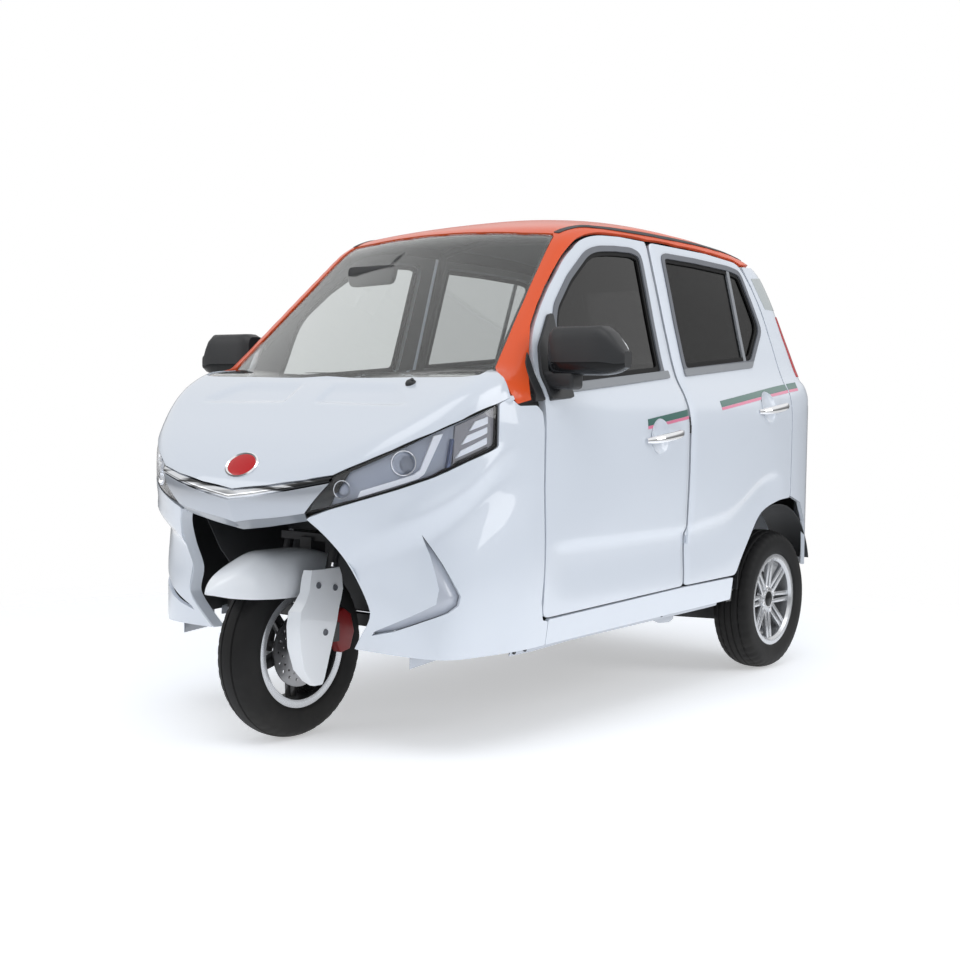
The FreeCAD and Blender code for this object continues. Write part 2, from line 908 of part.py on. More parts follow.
def b_hinges():
    """Fixed knuckles of the rear doors, on leaves that pass through the gap."""
    leaf_x = side_x - wall - 8 - 2 * post_r - 6
    return [side_hinge(pillar_y, level, leaf_x)[0] for level in hinge_levels]


def cage_frame(inner):
    """Posts between the doors and the bow that joins them under the roof."""
    left, top = b_post(1)
    right, _ = b_post(-1)
    bow = [
        V(top.x, top.y, top.z),
        V(top.x * 0.6, top.y, roof_z - wall - post_r - 18),
        V(-top.x * 0.6, top.y, roof_z - wall - post_r - 18),
        V(-top.x, top.y, top.z),
    ]
    parts = [left, right] + [rod(a, b, post_r) for a, b in zip(bow, bow[1:])]
    parts += [Part.makeSphere(post_r, p) for p in bow[1:3]]
    lug = rod(V(0, top.y, roof_z - wall - post_r - 18), V(0, top.y, roof_z), 12)
    parts.append(lug.common(inner))
    cage = fused(parts).common(inner)
    cage = cage.cut(box(-900, 900, 0, 400, 0, rail_top_z + plate_t))
    for knuckle in b_hinges():
        cage = cage.fuse(knuckle).fuse(mirrored(knuckle))
    return cage


def dashboard():
    """Shelf and panel across the cab under the windscreen, bored for the steering stem."""
    y0 = fender_rear_y - 30 + plate_t
    low = shoulder_z - 40
    panel = side_prism([
        (y0, low - 150),
        (y0 + 60, low - 150),
        (y0 + 110, low - 50),
        (y0 + 90, low + 18),
        (y0, low + 46),
    ], -dash_half, dash_half)
    shelf = side_prism([
        (y0, low),
        (y0, low + 46),
        (y0 - 155, low + 46),
        (y0 - 155, low + 22),
    ], -dash_half, dash_half)
    bore = rod(on_steer_axis(low - 60), on_steer_axis(low + 200), stem_r + 7)
    return panel.fuse(shelf).removeSplitter().cut(bore)


def reclined(shape, y, z):
    shape.rotate(V(0, 0, 0), X_AXIS, back_angle)
    shape.translate(V(0, y, z))
    return shape


def driver_seat():
    """Seat base, cushion, backrest and headrest of the driver."""
    half = seat_w / 2
    floor = rail_top_z + plate_t
    low = floor + seat_base_h
    base = box(-half + 30, half - 30, -150, 240, floor, low)
    cushion = box(-half, half, -190, 260, low, low + cushion_h)
    cushion = cushion.makeFillet(22, cushion.Edges)
    back = box(-half, half, 0, 90, 0, back_h)
    back = back.makeFillet(26, back.Edges)
    head = box(-130, 130, 10, 90, back_h + 20, back_h + 180)
    head = head.makeFillet(24, head.Edges)
    posts = [rod(V(x, 50, back_h - 40), V(x, 50, back_h + 60), 6) for x in (-60, 60)]
    top = reclined(fused([back, head] + posts), 200, low + cushion_h - 30)
    return fused([base, cushion, top])


def gate_y(z):
    """Inner face of the tailgate's glass at a height."""
    low = V(0, tail_y - 120, tail_level(0.0))
    high = V(0, roof_end_y + 125, tail_level(0.57))
    return low.y + (z - low.z) * (high.y - low.y) / (high.z - low.z) - glass_inset - glass


def rear_seat():
    """Bench for the second row, on the rear deck."""
    half = rear_track_x - rear_tyre_w / 2 - 50
    foot_z = deck_z + bench_h - 40
    tilt = math.radians(-back_angle)
    top_z = foot_z + bench_back_h * math.cos(tilt)
    foot_y = gate_y(top_z) - 24 - bench_back_h * math.sin(tilt) - bench_back_t / math.cos(tilt)
    cushion = box(-half, half, kick_y + 4, foot_y + 80, deck_z, deck_z + bench_h)
    cushion = cushion.makeFillet(24, cushion.Edges)
    back = box(-half, half, 0, bench_back_t, 0, bench_back_h)
    back = back.makeFillet(26, back.Edges)
    return fused([cushion, reclined(back, foot_y, foot_z)])


def battery_pack():
    """Battery hung under the rear deck, in front of the axle."""
    half = rail_half - 35
    front = kick_y + plate_t + 40
    return box(-half, half, front, front + 200, deck_z - plate_t - 175, deck_z - plate_t)


def rear_axle():
    """Axle tube with the motor and its gear case, springs up to the frame, stub ends."""
    reach = rear_track_x + 20
    parts = [
        rod(V(-reach + 90, 0, 0), V(reach - 90, 0, 0), 30),
        rod(V(-reach, 0, 0), V(reach, 0, 0), axle_r),
        rod(V(-70, 0, 0), V(70, 0, 0), 85),
        rod(V(-220, 60, 0), V(-60, 60, 0), 60),
    ]
    seat_z = deck_z - plate_t - 36 - tyre_r
    for side in (-1, 1):
        x = side * rail_half
        parts.append(box(x - 30, x + 30, -280, 230, 34, 46))
        parts.append(box(x - 32, x + 32, -40, 40, -40, 60))
        for y in (-268, 218):
            parts.append(box(x - 12, x + 12, y - 12, y + 12, 34, seat_z))
    return at_rear_axle(fused(parts))


def save(name, shapes):
    if not isinstance(shapes, (list, tuple)):
        shapes = [shapes]
    solids = []
    for shape in shapes:
        solids.extend(shape.Solids)
    bad = [s for s in solids if not s.isValid()]
    volume = sum(s.Volume for s in solids)
    print(f"{name}: {len(solids)} solids, {volume / 1e6:.2f} litres, {len(bad)} not valid")
    Part.makeCompound(solids).exportStep(f"parts/{name}.step")


def tail_lamp_region():
    """Upright strip at the rear corner, in the rear view."""
    return [
        (tailgate_x + 8, belt_z + 10),
        (tail_lamp_x + 60, belt_z + 10),
        (tail_lamp_x - 10, window_level(0.57)),
        (tailgate_x + 4, window_level(0.57)),
    ]


def rear_pieces(skin, glass_skin):
    """Rear body, tailgate, its glass and the lamps."""
    half = [
        (tailgate_x, tailgate_low_z),
        (tailgate_x, belt_z),
        (tailgate_x - 30, tail_hinge_z - 3),
    ]
    gate = half + [(-x, z) for x, z in reversed(half)]
    pane = [
        (tailgate_x - 45, belt_z + 60),
        (tailgate_x - 65, tail_hinge_z - 60),
        (-tailgate_x + 65, tail_hinge_z - 60),
        (-tailgate_x + 45, belt_z + 60),
    ]
    behind = tail_y - 360
    gate_solid = skin.common(front_prism(gate, behind, tail_y + 50))
    gate_solid = gate_solid.cut(front_prism(pane, behind, tail_y + 50))
    pane_solid = glass_skin.common(front_prism(pane, behind, tail_y + 50))
    region = box(-900, 900, door_rear_y - 60, tail_y + 50, bumper_z, rail_z - 18)
    rear = skin.common(region)
    rear = rear.cut(front_prism(gate, behind, tail_y + 50, door_gap))
    lamps = []
    for side in (1, -1):
        strip = front_prism([(side * x, z) for x, z in tail_lamp_region()], tail_y - 330, tail_y + 50)
        lamps.append(skin.common(strip))
        rear = rear.cut(strip)
    for x in (-plate_pitch / 2, plate_pitch / 2):
        rear = rear.cut(rod(V(x, tail_y - 100, plate_z), V(x, tail_y + 50, plate_z), plate_hole_r))
    return rear, gate_solid, pane_solid, lamps


def roof_lip(outer):
    """Low lip along the roof's rear edge."""
    half = tailgate_x - 30
    region = box(-half, half, roof_end_y - 60, roof_end_y + 20, roof_end_z - 12, roof_z)
    return body_volume(-lip_h).cut(outer).common(region)


def gate_hinges(roof, gate):
    """Barrel hinges along the tailgate's upper edge."""
    y = tail_hinge_y
    z = tail_hinge_z
    for x in (-260, 260 - 2 * hinge_h):
        start = V(x, y, z)
        mid = start + V(hinge_h, 0, 0)
        end = mid + V(hinge_h, 0, 0)
        room = rod(start - V(2, 0, 0), end + V(2, 0, 0), hinge_r + 2)
        roof = roof.cut(room)
        gate = gate.cut(room)
        fixed = rod(start, mid - V(running, 0, 0), hinge_r)
        fixed = fixed.fuse(box(x, x + hinge_h - running, y - 12, y, z, z + 12))
        fixed = fixed.fuse(rod(start, end, hinge_pin_r))
        moving = rod(mid, end, hinge_r).fuse(box(mid.x, end.x, y - 10, y, z - 14, z))
        moving = moving.cut(rod(mid, end, hinge_pin_r + running))
        roof = roof.fuse(fixed)
        gate = gate.fuse(moving)
    return roof, gate


def main():
    os.makedirs("parts", exist_ok=True)
    outer = body_volume(0.0)
    inner = body_volume(wall)
    skin = outer.cut(inner)
    glass_skin = body_volume(glass_inset).cut(body_volume(glass_inset + glass))

    doors_room = [
        side_prism(front_door_outline(), 200, 900, door_gap),
        side_prism(rear_door_outline(), 200, 900, door_gap),
    ]
    fixed = skin
    doors_room.append(box(200, 900, pillar_y - 10, pillar_y + 12, sill_top_z + 20, rail_z + 8))
    for room in doors_room:
        fixed = fixed.cut(room)
        fixed = fixed.cut(mirrored(room))
    arch = side_prism(arch_outline(), 300, 900)
    for room in (arch, mirrored(arch)):
        fixed = fixed.cut(room)

    screen_hole = front_prism(screen_outline(), -1000, -150)
    save("windscreen", glass_skin.common(screen_hole))

    bonnet_region = side_prism(bonnet_outline(), -900, 900)
    bonnet = fixed.common(bonnet_region).cut(screen_hole)
    save("bonnet", bonnet)

    roof_region = side_prism(roof_outline(), -900, 900)
    roof = fixed.common(roof_region).cut(bonnet_region).cut(screen_hole)
    half = tailgate_x - 24
    gate_room = box(-half, half, tail_hinge_y - 60, tail_y, tail_hinge_z - 93, tail_hinge_z + 3)
    roof = roof.cut(gate_room)

    lamp = side_prism(lamp_outline(), lamp_inner_x, 900).cut(bonnet_region)
    lamps = [skin.common(lamp), skin.common(mirrored(lamp))]
    save("headlamps", lamps)

    nose_region = front_prism(nose_outline(), -1400, -1000)
    nose = fixed.common(nose_region).cut(bonnet_region)
    save("nose_band", nose)

    front_region = box(opening_x, 900, -1400, fender_rear_y, sill_z, belt_z)
    front = fixed.common(front_region)
    for taken in (bonnet_region, lamp, nose_region, roof_region):
        front = front.cut(taken)
    sill_region = box(520, 900, cowl_y + 140, rear_axle_y - 410, sill_z, sill_top_z + 22)
    front = front.cut(sill_region)
    hollow = side_prism(hollow_outline(), opening_x, 900)
    front = front.cut(hollow.cut(body_volume(hollow_depth)))
    knuckles = []
    y = fender_rear_y + door_gap / 2
    for level in hinge_levels:
        front = front.cut(hinge_room(y, level))
        front = front.fuse(side_hinge(y, level, sill_x)[0].fuse(
            box(sill_x, shoulder_x, y - 6, y - 1.5, level, level + hinge_h - running)))
    save("front_panel_left", front)
    save("front_panel_right", mirrored(front))

    sill = fixed.common(sill_region)
    save("sills", both_sides(sill))

    rear, gate, pane, lights = rear_pieces(fixed, glass_skin)
    roof, gate = gate_hinges(roof.fuse(roof_lip(outer)), gate)
    save("roof_shell", roof)
    save("rear_body", rear.cut(roof_region))
    save("tailgate", gate)
    save("tailgate_glass", pane)
    save("tail_lamps", lights)

    raised = body_volume(-seam_h).cut(outer)
    left = front_door(skin, raised)
    save("door_front_left", left)
    save("door_front_right", mirrored(left))
    left = rear_door(skin, raised)
    save("door_rear_left", left)
    save("door_rear_right", mirrored(left))
    save("glass_front_left", front_glass())
    save("glass_front_right", mirrored(front_glass()))
    save("glass_rear_left", rear_glass())
    save("glass_rear_right", mirrored(rear_glass()))

    front_pull = handle(front_handle_y, front_handle_z, outer)
    rear_pull = handle(rear_handle_y, rear_handle_z, outer)
    save("handle_front_left", front_pull)
    save("handle_front_right", mirrored(front_pull))
    save("handle_rear_left", rear_pull)
    save("handle_rear_right", mirrored(rear_pull))
    mirror = mirror_piece(outer)
    save("mirror_left", mirror)
    save("mirror_right", mirrored(mirror))

    save("front_tyre", at_front_axle(tyre(front_tyre_w, 0)))
    save("front_rim", at_front_axle(rim(front_tyre_w, 0, front_spokes, front_spoke_w, 0).fuse(brake_disc())))
    save("steering_fork", steering_fork())
    save("handlebar", handlebar())
    save("front_mudguard", front_mudguard())
    cover = fork_cover(fork_x + fork_r + cover_gap)
    save("fork_covers", both_sides(cover))
    for name, side in (("left", 1), ("right", -1)):
        wheel = at_rear_axle(tyre(rear_tyre_w, rear_track_x))
        leans = (-spoke_spread, spoke_spread)
        hub = at_rear_axle(rim(rear_tyre_w, rear_track_x, spoke_pairs, rear_spoke_w, 20, leans))
        if side < 0:
            wheel = mirrored(wheel)
            hub = mirrored(hub)
        save(f"rear_tyre_{name}", wheel)
        save(f"rear_rim_{name}", hub)
    save("rear_axle", rear_axle())

    frame = chassis_frame(inner)
    save("chassis_frame", frame)
    save("steering_neck", steering_neck(frame))
    save("floor_pan", floor_pan(inner).cut(frame))
    save("cage_frame", cage_frame(inner))
    save("dashboard", dashboard())
    save("driver_seat", driver_seat())
    save("rear_seat", rear_seat())
    save("battery_pack", battery_pack())


main()
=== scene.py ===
# %% [markdown]
# An enclosed electric tricycle with one steered front wheel, four doors and a tailgate.
# The CAD model gives the solids, the joints and the true sizes. This file dresses them: smooth
# painted skins, glass and seals, lamps, wheels, seats and trim, all in metres and in the same frame.
# The front faces -Y, the vehicle's left is +X, and the ground is at z = 0.

# %% Load the fixed frame and keep its nodes and record
import json
import math

import bmesh
import bpy
import numpy as np
from mathutils import Matrix, Vector


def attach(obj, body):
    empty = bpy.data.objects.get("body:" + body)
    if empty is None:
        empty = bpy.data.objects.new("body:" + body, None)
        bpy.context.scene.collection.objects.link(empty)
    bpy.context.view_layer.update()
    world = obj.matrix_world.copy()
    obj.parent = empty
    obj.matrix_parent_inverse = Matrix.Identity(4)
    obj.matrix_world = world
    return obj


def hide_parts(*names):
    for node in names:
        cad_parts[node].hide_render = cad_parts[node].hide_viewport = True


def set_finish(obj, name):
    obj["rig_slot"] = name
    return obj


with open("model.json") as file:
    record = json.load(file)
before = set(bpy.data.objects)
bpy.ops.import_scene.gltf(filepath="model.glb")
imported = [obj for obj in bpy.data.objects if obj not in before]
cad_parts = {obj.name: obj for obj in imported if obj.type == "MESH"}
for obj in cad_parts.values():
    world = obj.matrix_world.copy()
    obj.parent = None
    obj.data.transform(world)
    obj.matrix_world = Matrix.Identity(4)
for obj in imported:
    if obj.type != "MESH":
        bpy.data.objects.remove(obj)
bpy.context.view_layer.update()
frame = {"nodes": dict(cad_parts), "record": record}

# %% [markdown]
# The camera stands where the photographer stood, at the left front corner and at the height of
# the windows. Its place was solved from the wheels and from points alike on both sides. The small
# shift puts the lens axis where the picture has it.

# %% Camera
PICTURE_SIDE = 960  # pixels
LENS_AXIS = (469.26, 471.6)  # where the lens axis meets the picture, in pixels from its top left
FOCAL_LENGTH = 1441.3  # in pixels
SENSOR_WIDTH = 36  # millimetres
camera_data = bpy.data.cameras.new("camera")
camera = bpy.data.objects.new("camera", camera_data)
bpy.context.scene.collection.objects.link(camera)
camera_turn, camera_dip, camera_roll = (math.radians(a) for a in (37.518, 2.783, 0.866))
camera_place = Vector((2.916, -3.945, 0.972))
level = math.cos(camera_dip)
back = Vector((math.sin(camera_turn) * level, -math.cos(camera_turn) * level, math.sin(camera_dip)))
right = Vector((math.cos(camera_turn), math.sin(camera_turn), 0))
up = back.cross(right)
level_right = right * math.cos(camera_roll) + up * math.sin(camera_roll)
level_up = up * math.cos(camera_roll) - right * math.sin(camera_roll)
turn = Matrix((level_right, level_up, back)).transposed()
camera.matrix_world = Matrix.Translation(camera_place) @ turn.to_4x4()
camera_data.lens = FOCAL_LENGTH / PICTURE_SIDE * SENSOR_WIDTH
camera_data.shift_x = (PICTURE_SIDE / 2 - LENS_AXIS[0]) / PICTURE_SIDE
camera_data.shift_y = (LENS_AXIS[1] - PICTURE_SIDE / 2) / PICTURE_SIDE
bpy.context.scene.camera = camera

# %% [markdown]
# Shaders are built from nodes, for the room as for every finish. One helper adds a node and feeds its
# inputs, each with a plain value or with the output of another node, and so a whole shader reads as a
# few lines.

# %% Adding nodes
def add(tree, kind, feeds=(), **settings):
    """A node with its settings; feeds gives inputs, by name or number, a value or an output."""
    node = tree.nodes.new(kind)
    for key, value in settings.items():
        setattr(node, key, value)
    for slot, value in dict(feeds).items():
        if isinstance(value, bpy.types.NodeSocket):
            tree.links.new(value, node.inputs[slot])
        else:
            node.inputs[slot].default_value = value
    return node


def math_node(tree, operation, a, b=None, clamp=False):
    feeds = {0: a} if b is None else {0: a, 1: b}
    return add(tree, "ShaderNodeMath", feeds, operation=operation, use_clamp=clamp).outputs[0]


def object_place(tree):
    """The output that gives each point's own place on its piece, in metres."""
    return add(tree, "ShaderNodeTexCoord").outputs["Object"]


# %% [markdown]
# Studio light: a broad soft lamp high in front, one from the side and a weaker one that rounds the
# nose, and a pale room. The camera and glass see the room as plain white. Mirrors and paint see it in soft
# bands, pale above and darker at the horizon, which draws out their shapes. What lights the paint is a
# third, even tone, so that colours render about as they are written.

# %% Light and room
def area_lamp(name, place, target, size, power):
    data = bpy.data.lights.new(name, "AREA")
    data.shape, data.size, data.size_y, data.energy = "RECTANGLE", size[0], size[1], power
    lamp = bpy.data.objects.new(name, data)
    bpy.context.scene.collection.objects.link(lamp)
    lamp.location = place
    lamp.rotation_euler = (Vector(target) - Vector(place)).to_track_quat("-Z", "Y").to_euler()
    return lamp


area_lamp("key_lamp", (1.3, -3.0, 5.4), (0, 0, 0.6), (4.5, 3.0), 86)
area_lamp("side_lamp", (5.4, 2.1, 2.7), (0, 0.2, 0.7), (3.0, 3.4), 88)
area_lamp("nose_lamp", (-3.6, -4.6, 2.6), (0, -0.6, 0.6), (3.0, 2.4), 32)

world = bpy.data.worlds.new("pale_room")
bpy.context.scene.world = world
world.use_nodes = True
room = world.node_tree
room.nodes.clear()
ray = add(room, "ShaderNodeLightPath").outputs
seen = ray["Is Camera Ray"]
for kind_of_ray in ("Is Glossy Ray", "Is Transmission Ray"):
    seen = math_node(room, "MAXIMUM", seen, ray[kind_of_ray])
toward = add(room, "ShaderNodeSeparateXYZ", {0: add(room, "ShaderNodeTexCoord").outputs["Generated"]})
height = add(room, "ShaderNodeMath", {0: toward.outputs["Z"], 1: .5, 2: .5}, operation="MULTIPLY_ADD")
bands = add(room, "ShaderNodeValToRGB", {"Fac": height.outputs[0]})
bands.color_ramp.interpolation = "EASE"
for spot, tone in ((0.0, .62), (.40, .80), (.47, .16), (.56, .30), (.66, .95)):
    bands.color_ramp.elements.new(spot).color = (tone, tone, tone, 1)
for stop in (bands.color_ramp.elements[0], bands.color_ramp.elements[-1]):
    stop.color = (.95, .95, .95, 1) if stop.position > .5 else (.62, .62, .62, 1)
only_mirrored = math_node(room, "SUBTRACT", ray["Is Glossy Ray"], ray["Is Transmission Ray"], True)
shown = add(room, "ShaderNodeMix", {"Factor": only_mirrored, "A": (1, 1, 1, 1),
                                    "B": bands.outputs["Color"]}, data_type="RGBA")
room_light = add(room, "ShaderNodeBackground", {"Color": (0.86, 0.92, 1.0, 1), "Strength": 0.55})
room_seen = add(room, "ShaderNodeBackground", {"Color": shown.outputs["Result"], "Strength": 1.0})
either = add(room, "ShaderNodeMixShader", {"Fac": seen, 1: room_light.outputs["Background"],
                                           2: room_seen.outputs["Background"]})
add(room, "ShaderNodeOutputWorld", {"Surface": either.outputs["Shader"]})
bpy.context.scene.view_settings.view_transform = "Standard"

# %% [markdown]
# Every finish is built from nodes on Object coordinates, in metres, so a grain has its true size on
# every piece. Two effects come back in many finishes and are therefore node groups: a fine surface
# grain, and the road film that gathers low down on a vehicle. Each gives values that change
# over the surface; what is constant is set on the shader itself.

# %% Shared shader groups
def new_group(name, ins, outs):
    tree = bpy.data.node_groups.new(name, "ShaderNodeTree")
    for label, kind, value in ins:
        socket = tree.interface.new_socket(name=label, in_out="INPUT", socket_type=kind)
        socket.default_value = value
    for label, kind in outs:
        tree.interface.new_socket(name=label, in_out="OUTPUT", socket_type=kind)
    return tree, tree.nodes.new("NodeGroupInput"), tree.nodes.new("NodeGroupOutput")


grain_group, g_in, g_out = new_group(
    "fine_grain",
    [("Scale", "NodeSocketFloat", 900.0), ("Detail", "NodeSocketFloat", 4.0),
     ("Base", "NodeSocketFloat", 0.5), ("Swing", "NodeSocketFloat", 0.1)],
    [("Height", "NodeSocketFloat"), ("Rough", "NodeSocketFloat"), ("Cloud", "NodeSocketFloat")],
)
noise = add(grain_group, "ShaderNodeTexNoise", {"Vector": object_place(grain_group),
                                                "Scale": g_in.outputs["Scale"],
                                                "Detail": g_in.outputs["Detail"]})
cloud = add(grain_group, "ShaderNodeTexNoise", {"Vector": object_place(grain_group), "Scale": 6.0,
                                                "Detail": 3.0})
spread = math_node(grain_group, "SUBTRACT", cloud.outputs["Fac"], 0.5)
swung = math_node(grain_group, "MULTIPLY", spread, g_in.outputs["Swing"])
rough = math_node(grain_group, "ADD", g_in.outputs["Base"], swung, True)
for label, source in (("Height", noise.outputs["Fac"]), ("Rough", rough), ("Cloud", cloud.outputs["Fac"])):
    grain_group.links.new(source, g_out.inputs[label])

film_group, f_in, f_out = new_group(
    "road_film",
    [("Color", "NodeSocketColor", (0.8, 0.8, 0.8, 1)), ("Film", "NodeSocketColor", (0.3, 0.28, 0.25, 1)),
     ("Top", "NodeSocketFloat", 0.45), ("Amount", "NodeSocketFloat", 0.2)],
    [("Color", "NodeSocketColor")],
)
point = add(film_group, "ShaderNodeSeparateXYZ", {0: object_place(film_group)})
patch = add(film_group, "ShaderNodeTexNoise", {"Vector": object_place(film_group), "Scale": 14.0,
                                               "Detail": 5.0})
under = math_node(film_group, "SUBTRACT", f_in.outputs["Top"], point.outputs["Z"])
low = math_node(film_group, "DIVIDE", under, f_in.outputs["Top"], True)
patchy = math_node(film_group, "MULTIPLY", low, patch.outputs["Fac"])
share = math_node(film_group, "MULTIPLY", patchy, f_in.outputs["Amount"], True)
mix = add(film_group, "ShaderNodeMix", {0: share, 6: f_in.outputs["Color"], 7: f_in.outputs["Film"]},
          data_type="RGBA")
film_group.links.new(mix.outputs[2], f_out.inputs["Color"])


# %% A finish: one Principled shader fed by the two groups
def finish(name, color, rough=0.5, swing=0.08, grain=900.0, bump=0.0, film=0.0, fixed=()):
    """bump is the grain's height in metres, film the share of road film, fixed other inputs."""
    material = bpy.data.materials.new(name)
    material.use_nodes = True
    tree = material.node_tree
    tree.nodes.clear()
    base = (*color, 1)
    grains = add(tree, "ShaderNodeGroup", node_tree=grain_group)
    for label, value in (("Scale", grain), ("Base", rough), ("Swing", swing)):
        grains.inputs[label].default_value = value
    feeds = {"Roughness": grains.outputs["Rough"], **dict(fixed)}
    if film:
        films = add(tree, "ShaderNodeGroup", node_tree=film_group)
        films.inputs["Color"].default_value = base
        films.inputs["Amount"].default_value = film
        feeds["Base Color"] = films.outputs["Color"]
    if bump:
        relief = add(tree, "ShaderNodeBump", {"Strength": 1.0, "Distance": bump,
                                              "Height": grains.outputs["Height"]})
        feeds["Normal"] = relief.outputs["Normal"]
    shader = add(tree, "ShaderNodeBsdfPrincipled", feeds, name="shader")
    shader.inputs["Base Color"].default_value = base
    add(tree, "ShaderNodeOutputMaterial", {"Surface": shader.outputs[0]}, name="surface")
    material.diffuse_color = base
    return material


def driven(material, label, source):
    """Lets an output of the material's own nodes drive one input of its shader."""
    material.node_tree.links.new(source, material.node_tree.nodes["shader"].inputs[label])


def clear(ior):
    """What makes a shader transparent."""
    return {"Transmission Weight": 1.0, "IOR": ior}


clear_coat = {"Coat Weight": 1.0, "Coat Roughness": 0.04, "IOR": 1.5}
white_paint = finish("pearl_white_paint", (0.745, 0.785, 0.845), 0.34, 0.05, 2400, 0.0, 0.10, clear_coat)
thin_coat = {"Coat Weight": 0.35, "Coat Roughness": 0.08, "Specular IOR Level": 0.25}
orange_paint = finish("orange_paint", (0.86, 0.105, 0.022), 0.36, 0.05, 2400, fixed=thin_coat)
silver_paint = finish("silver_paint", (0.50, 0.53, 0.58), 0.30, 0.06, 2600,
                      fixed={**clear_coat, "Metallic": 0.55})
chrome = finish("bright_chrome", (0.86, 0.87, 0.89), 0.07, 0.05, 1200, fixed={"Metallic": 1.0})
pane_glass = finish("side_glass_inner_face", (0.93, 0.95, 0.95), 0.02, 0.01, fixed=clear(1.45))


def tinted(name, inside, ior):
    """Side glass: much lighter from the cab, where it shows its own tint; from outside it is painted nearly black, as
    painted shade for the dark cab behind it.
    """
    glass = finish(name, inside, 0.02, 0.01, fixed=clear(ior))
    tree = glass.node_tree
    from_inside = add(tree, "ShaderNodeNewGeometry").outputs["Backfacing"]
    # the near-black colour seen from outside is painted shade for the dark cab, not the glass's tint
    painted_shade_outside = {"Factor": from_inside, "A": (0.0003, 0.0003, 0.0003, 1), "B": (*inside, 1)}
    driven(glass, "Base Color", add(tree, "ShaderNodeMix", painted_shade_outside, data_type="RGBA").outputs["Result"])
    return glass


dark_glass = tinted("tinted_side_glass", (0.46, 0.47, 0.47), 1.45)
rear_glass = tinted("tinted_rear_glass", (0.20, 0.205, 0.205), 1.22)
screen_glass = finish("windscreen_glass", (0.86, 0.89, 0.885), 0.01, 0.01, fixed=clear(1.45))
lens_clear = finish("clear_lamp_lens", (0.93, 0.95, 0.97), 0.02, 0.02, fixed=clear(1.42))
lens_coat = {"Specular IOR Level": 0.3, "Coat Weight": 0.2, "Coat Roughness": 0.03}
lens_red = finish("red_lamp_lens", (0.55, 0.010, 0.016), 0.12, 0.05, fixed=lens_coat)
trim_grey = finish("grey_trim", (0.150, 0.158, 0.178), 0.36, 0.08, 1500, 0.00004, 0.0)
belt_grey = finish("belt_moulding", (0.26, 0.27, 0.285), 0.30, 0.08, 1500, 0.00002, 0.0)
black_plastic = finish("black_grained_plastic", (0.022, 0.023, 0.025), 0.48, 0.10, 1100, 0.00012, 0.12)
gloss_black = finish("gloss_black_plastic", (0.010, 0.011, 0.012), 0.22, 0.05, 1100,
                     fixed={"Specular IOR Level": 0.28})
rubber = finish("soft_black_rubber", (0.0045, 0.0045, 0.0050), 0.62, 0.08, 1600, 0.00005, 0.1,
                {"Specular IOR Level": 0.25})
# moulded white plastic, painted brighter than the body's paint: the extra brightness is painted light for the shaded
# wheel zone
guard_white_painted_light = finish("white_plastic_with_painted_light", (0.95, 0.965, 0.985), 0.36, 0.05, 2400, 0.0, 0.06, clear_coat)
frame_black = finish("satin_black_steel", (0.030, 0.030, 0.032), 0.42, 0.15, 500, 0.00008, 0.5)
cabin_grey = finish("cabin_moulding", (0.100, 0.103, 0.108), 0.55, 0.08, 1300, 0.00008, 0.0)
headlining = finish("headlining_felt", (0.22, 0.225, 0.23), 0.85, 0.06, 2200, 0.0002, 0.0)

# %% [markdown]
# Floor: one large pale sheet. It keeps the shadow under the vehicle, and fades into the room with
# distance, so that no horizon shows.

# %% Floor
floor_paint = finish("studio_floor", (0.90, 0.91, 0.93), 0.9, 0.02, 200, 0.0, 0.0,
                     {"Emission Color": (1, 1, 1, 1), "Emission Strength": 0.42})
floor_tree = floor_paint.node_tree
reach = add(floor_tree, "ShaderNodeVectorMath", {0: object_place(floor_tree)}, operation="LENGTH")
fading = {"Value": reach.outputs["Value"], "From Min": 1.5, "From Max": 3.4}
faded = add(floor_tree, "ShaderNodeMapRange", fading, interpolation_type="SMOOTHERSTEP").outputs["Result"]
bare = add(floor_tree, "ShaderNodeBsdfTransparent")
floor_mix = add(floor_tree, "ShaderNodeMixShader", {"Fac": faded, 1: floor_tree.nodes["shader"].outputs[0],
                                                    2: bare.outputs[0]})
floor_tree.links.new(floor_mix.outputs[0], floor_tree.nodes["surface"].inputs["Surface"])
bm = bmesh.new()
bmesh.ops.create_grid(bm, x_segments=2, y_segments=2, size=60)
floor_mesh = bpy.data.meshes.new("floor")
bm.to_mesh(floor_mesh)
bm.free()
floor_mesh.materials.append(floor_paint)
floor = bpy.data.objects.new("floor", floor_mesh)
bpy.context.scene.collection.objects.link(floor)

# %% [markdown]
# The painted body is one flowing surface that the doors, panels and lamps share, with gaps cut
# through it. It could be drawn panel by panel, but neighbours would then never quite line up. Here it is
# a single function instead: the distance of a point from the outside, blended from a side section, two
# plan curves, the nose and tail profiles and the cab. Each curve is a short table, in metres.

# %% Curves of the body
def smooth_table(points, count=600):
    """Monotone cubic through the points: dense places, values and slopes."""
    x, y = (np.array(c, float) for c in zip(*points))
    h = np.diff(x)
    d = np.diff(y) / h
    m = np.zeros(len(x))
    m[0], m[-1] = d[0], d[-1]
    for i in range(1, len(x) - 1):
        if d[i - 1] * d[i] > 0:
            a, b = 2 * h[i] + h[i - 1], h[i] + 2 * h[i - 1]
            m[i] = (a + b) / (a / d[i - 1] + b / d[i])
    at = np.linspace(x[0], x[-1], count)
    k = np.clip(np.searchsorted(x, at, side="right") - 1, 0, len(h) - 1)
    t = (at - x[k]) / h[k]
    value = ((1 + 2 * t) * (1 - t) ** 2 * y[k] + t * (1 - t) ** 2 * h[k] * m[k]
             + t * t * (3 - 2 * t) * y[k + 1] + t * t * (t - 1) * h[k] * m[k + 1])
    return at, value, np.gradient(value, at)


def smooth_max(a, b, k):
    h = np.clip(k - np.abs(a - b), 0, None) / k
    return np.maximum(a, b) + h * h * k / 4


def smooth_step(x, low, high):
    t = np.clip((x - low) / (high - low), 0, 1)
    return t * t * (3 - 2 * t)


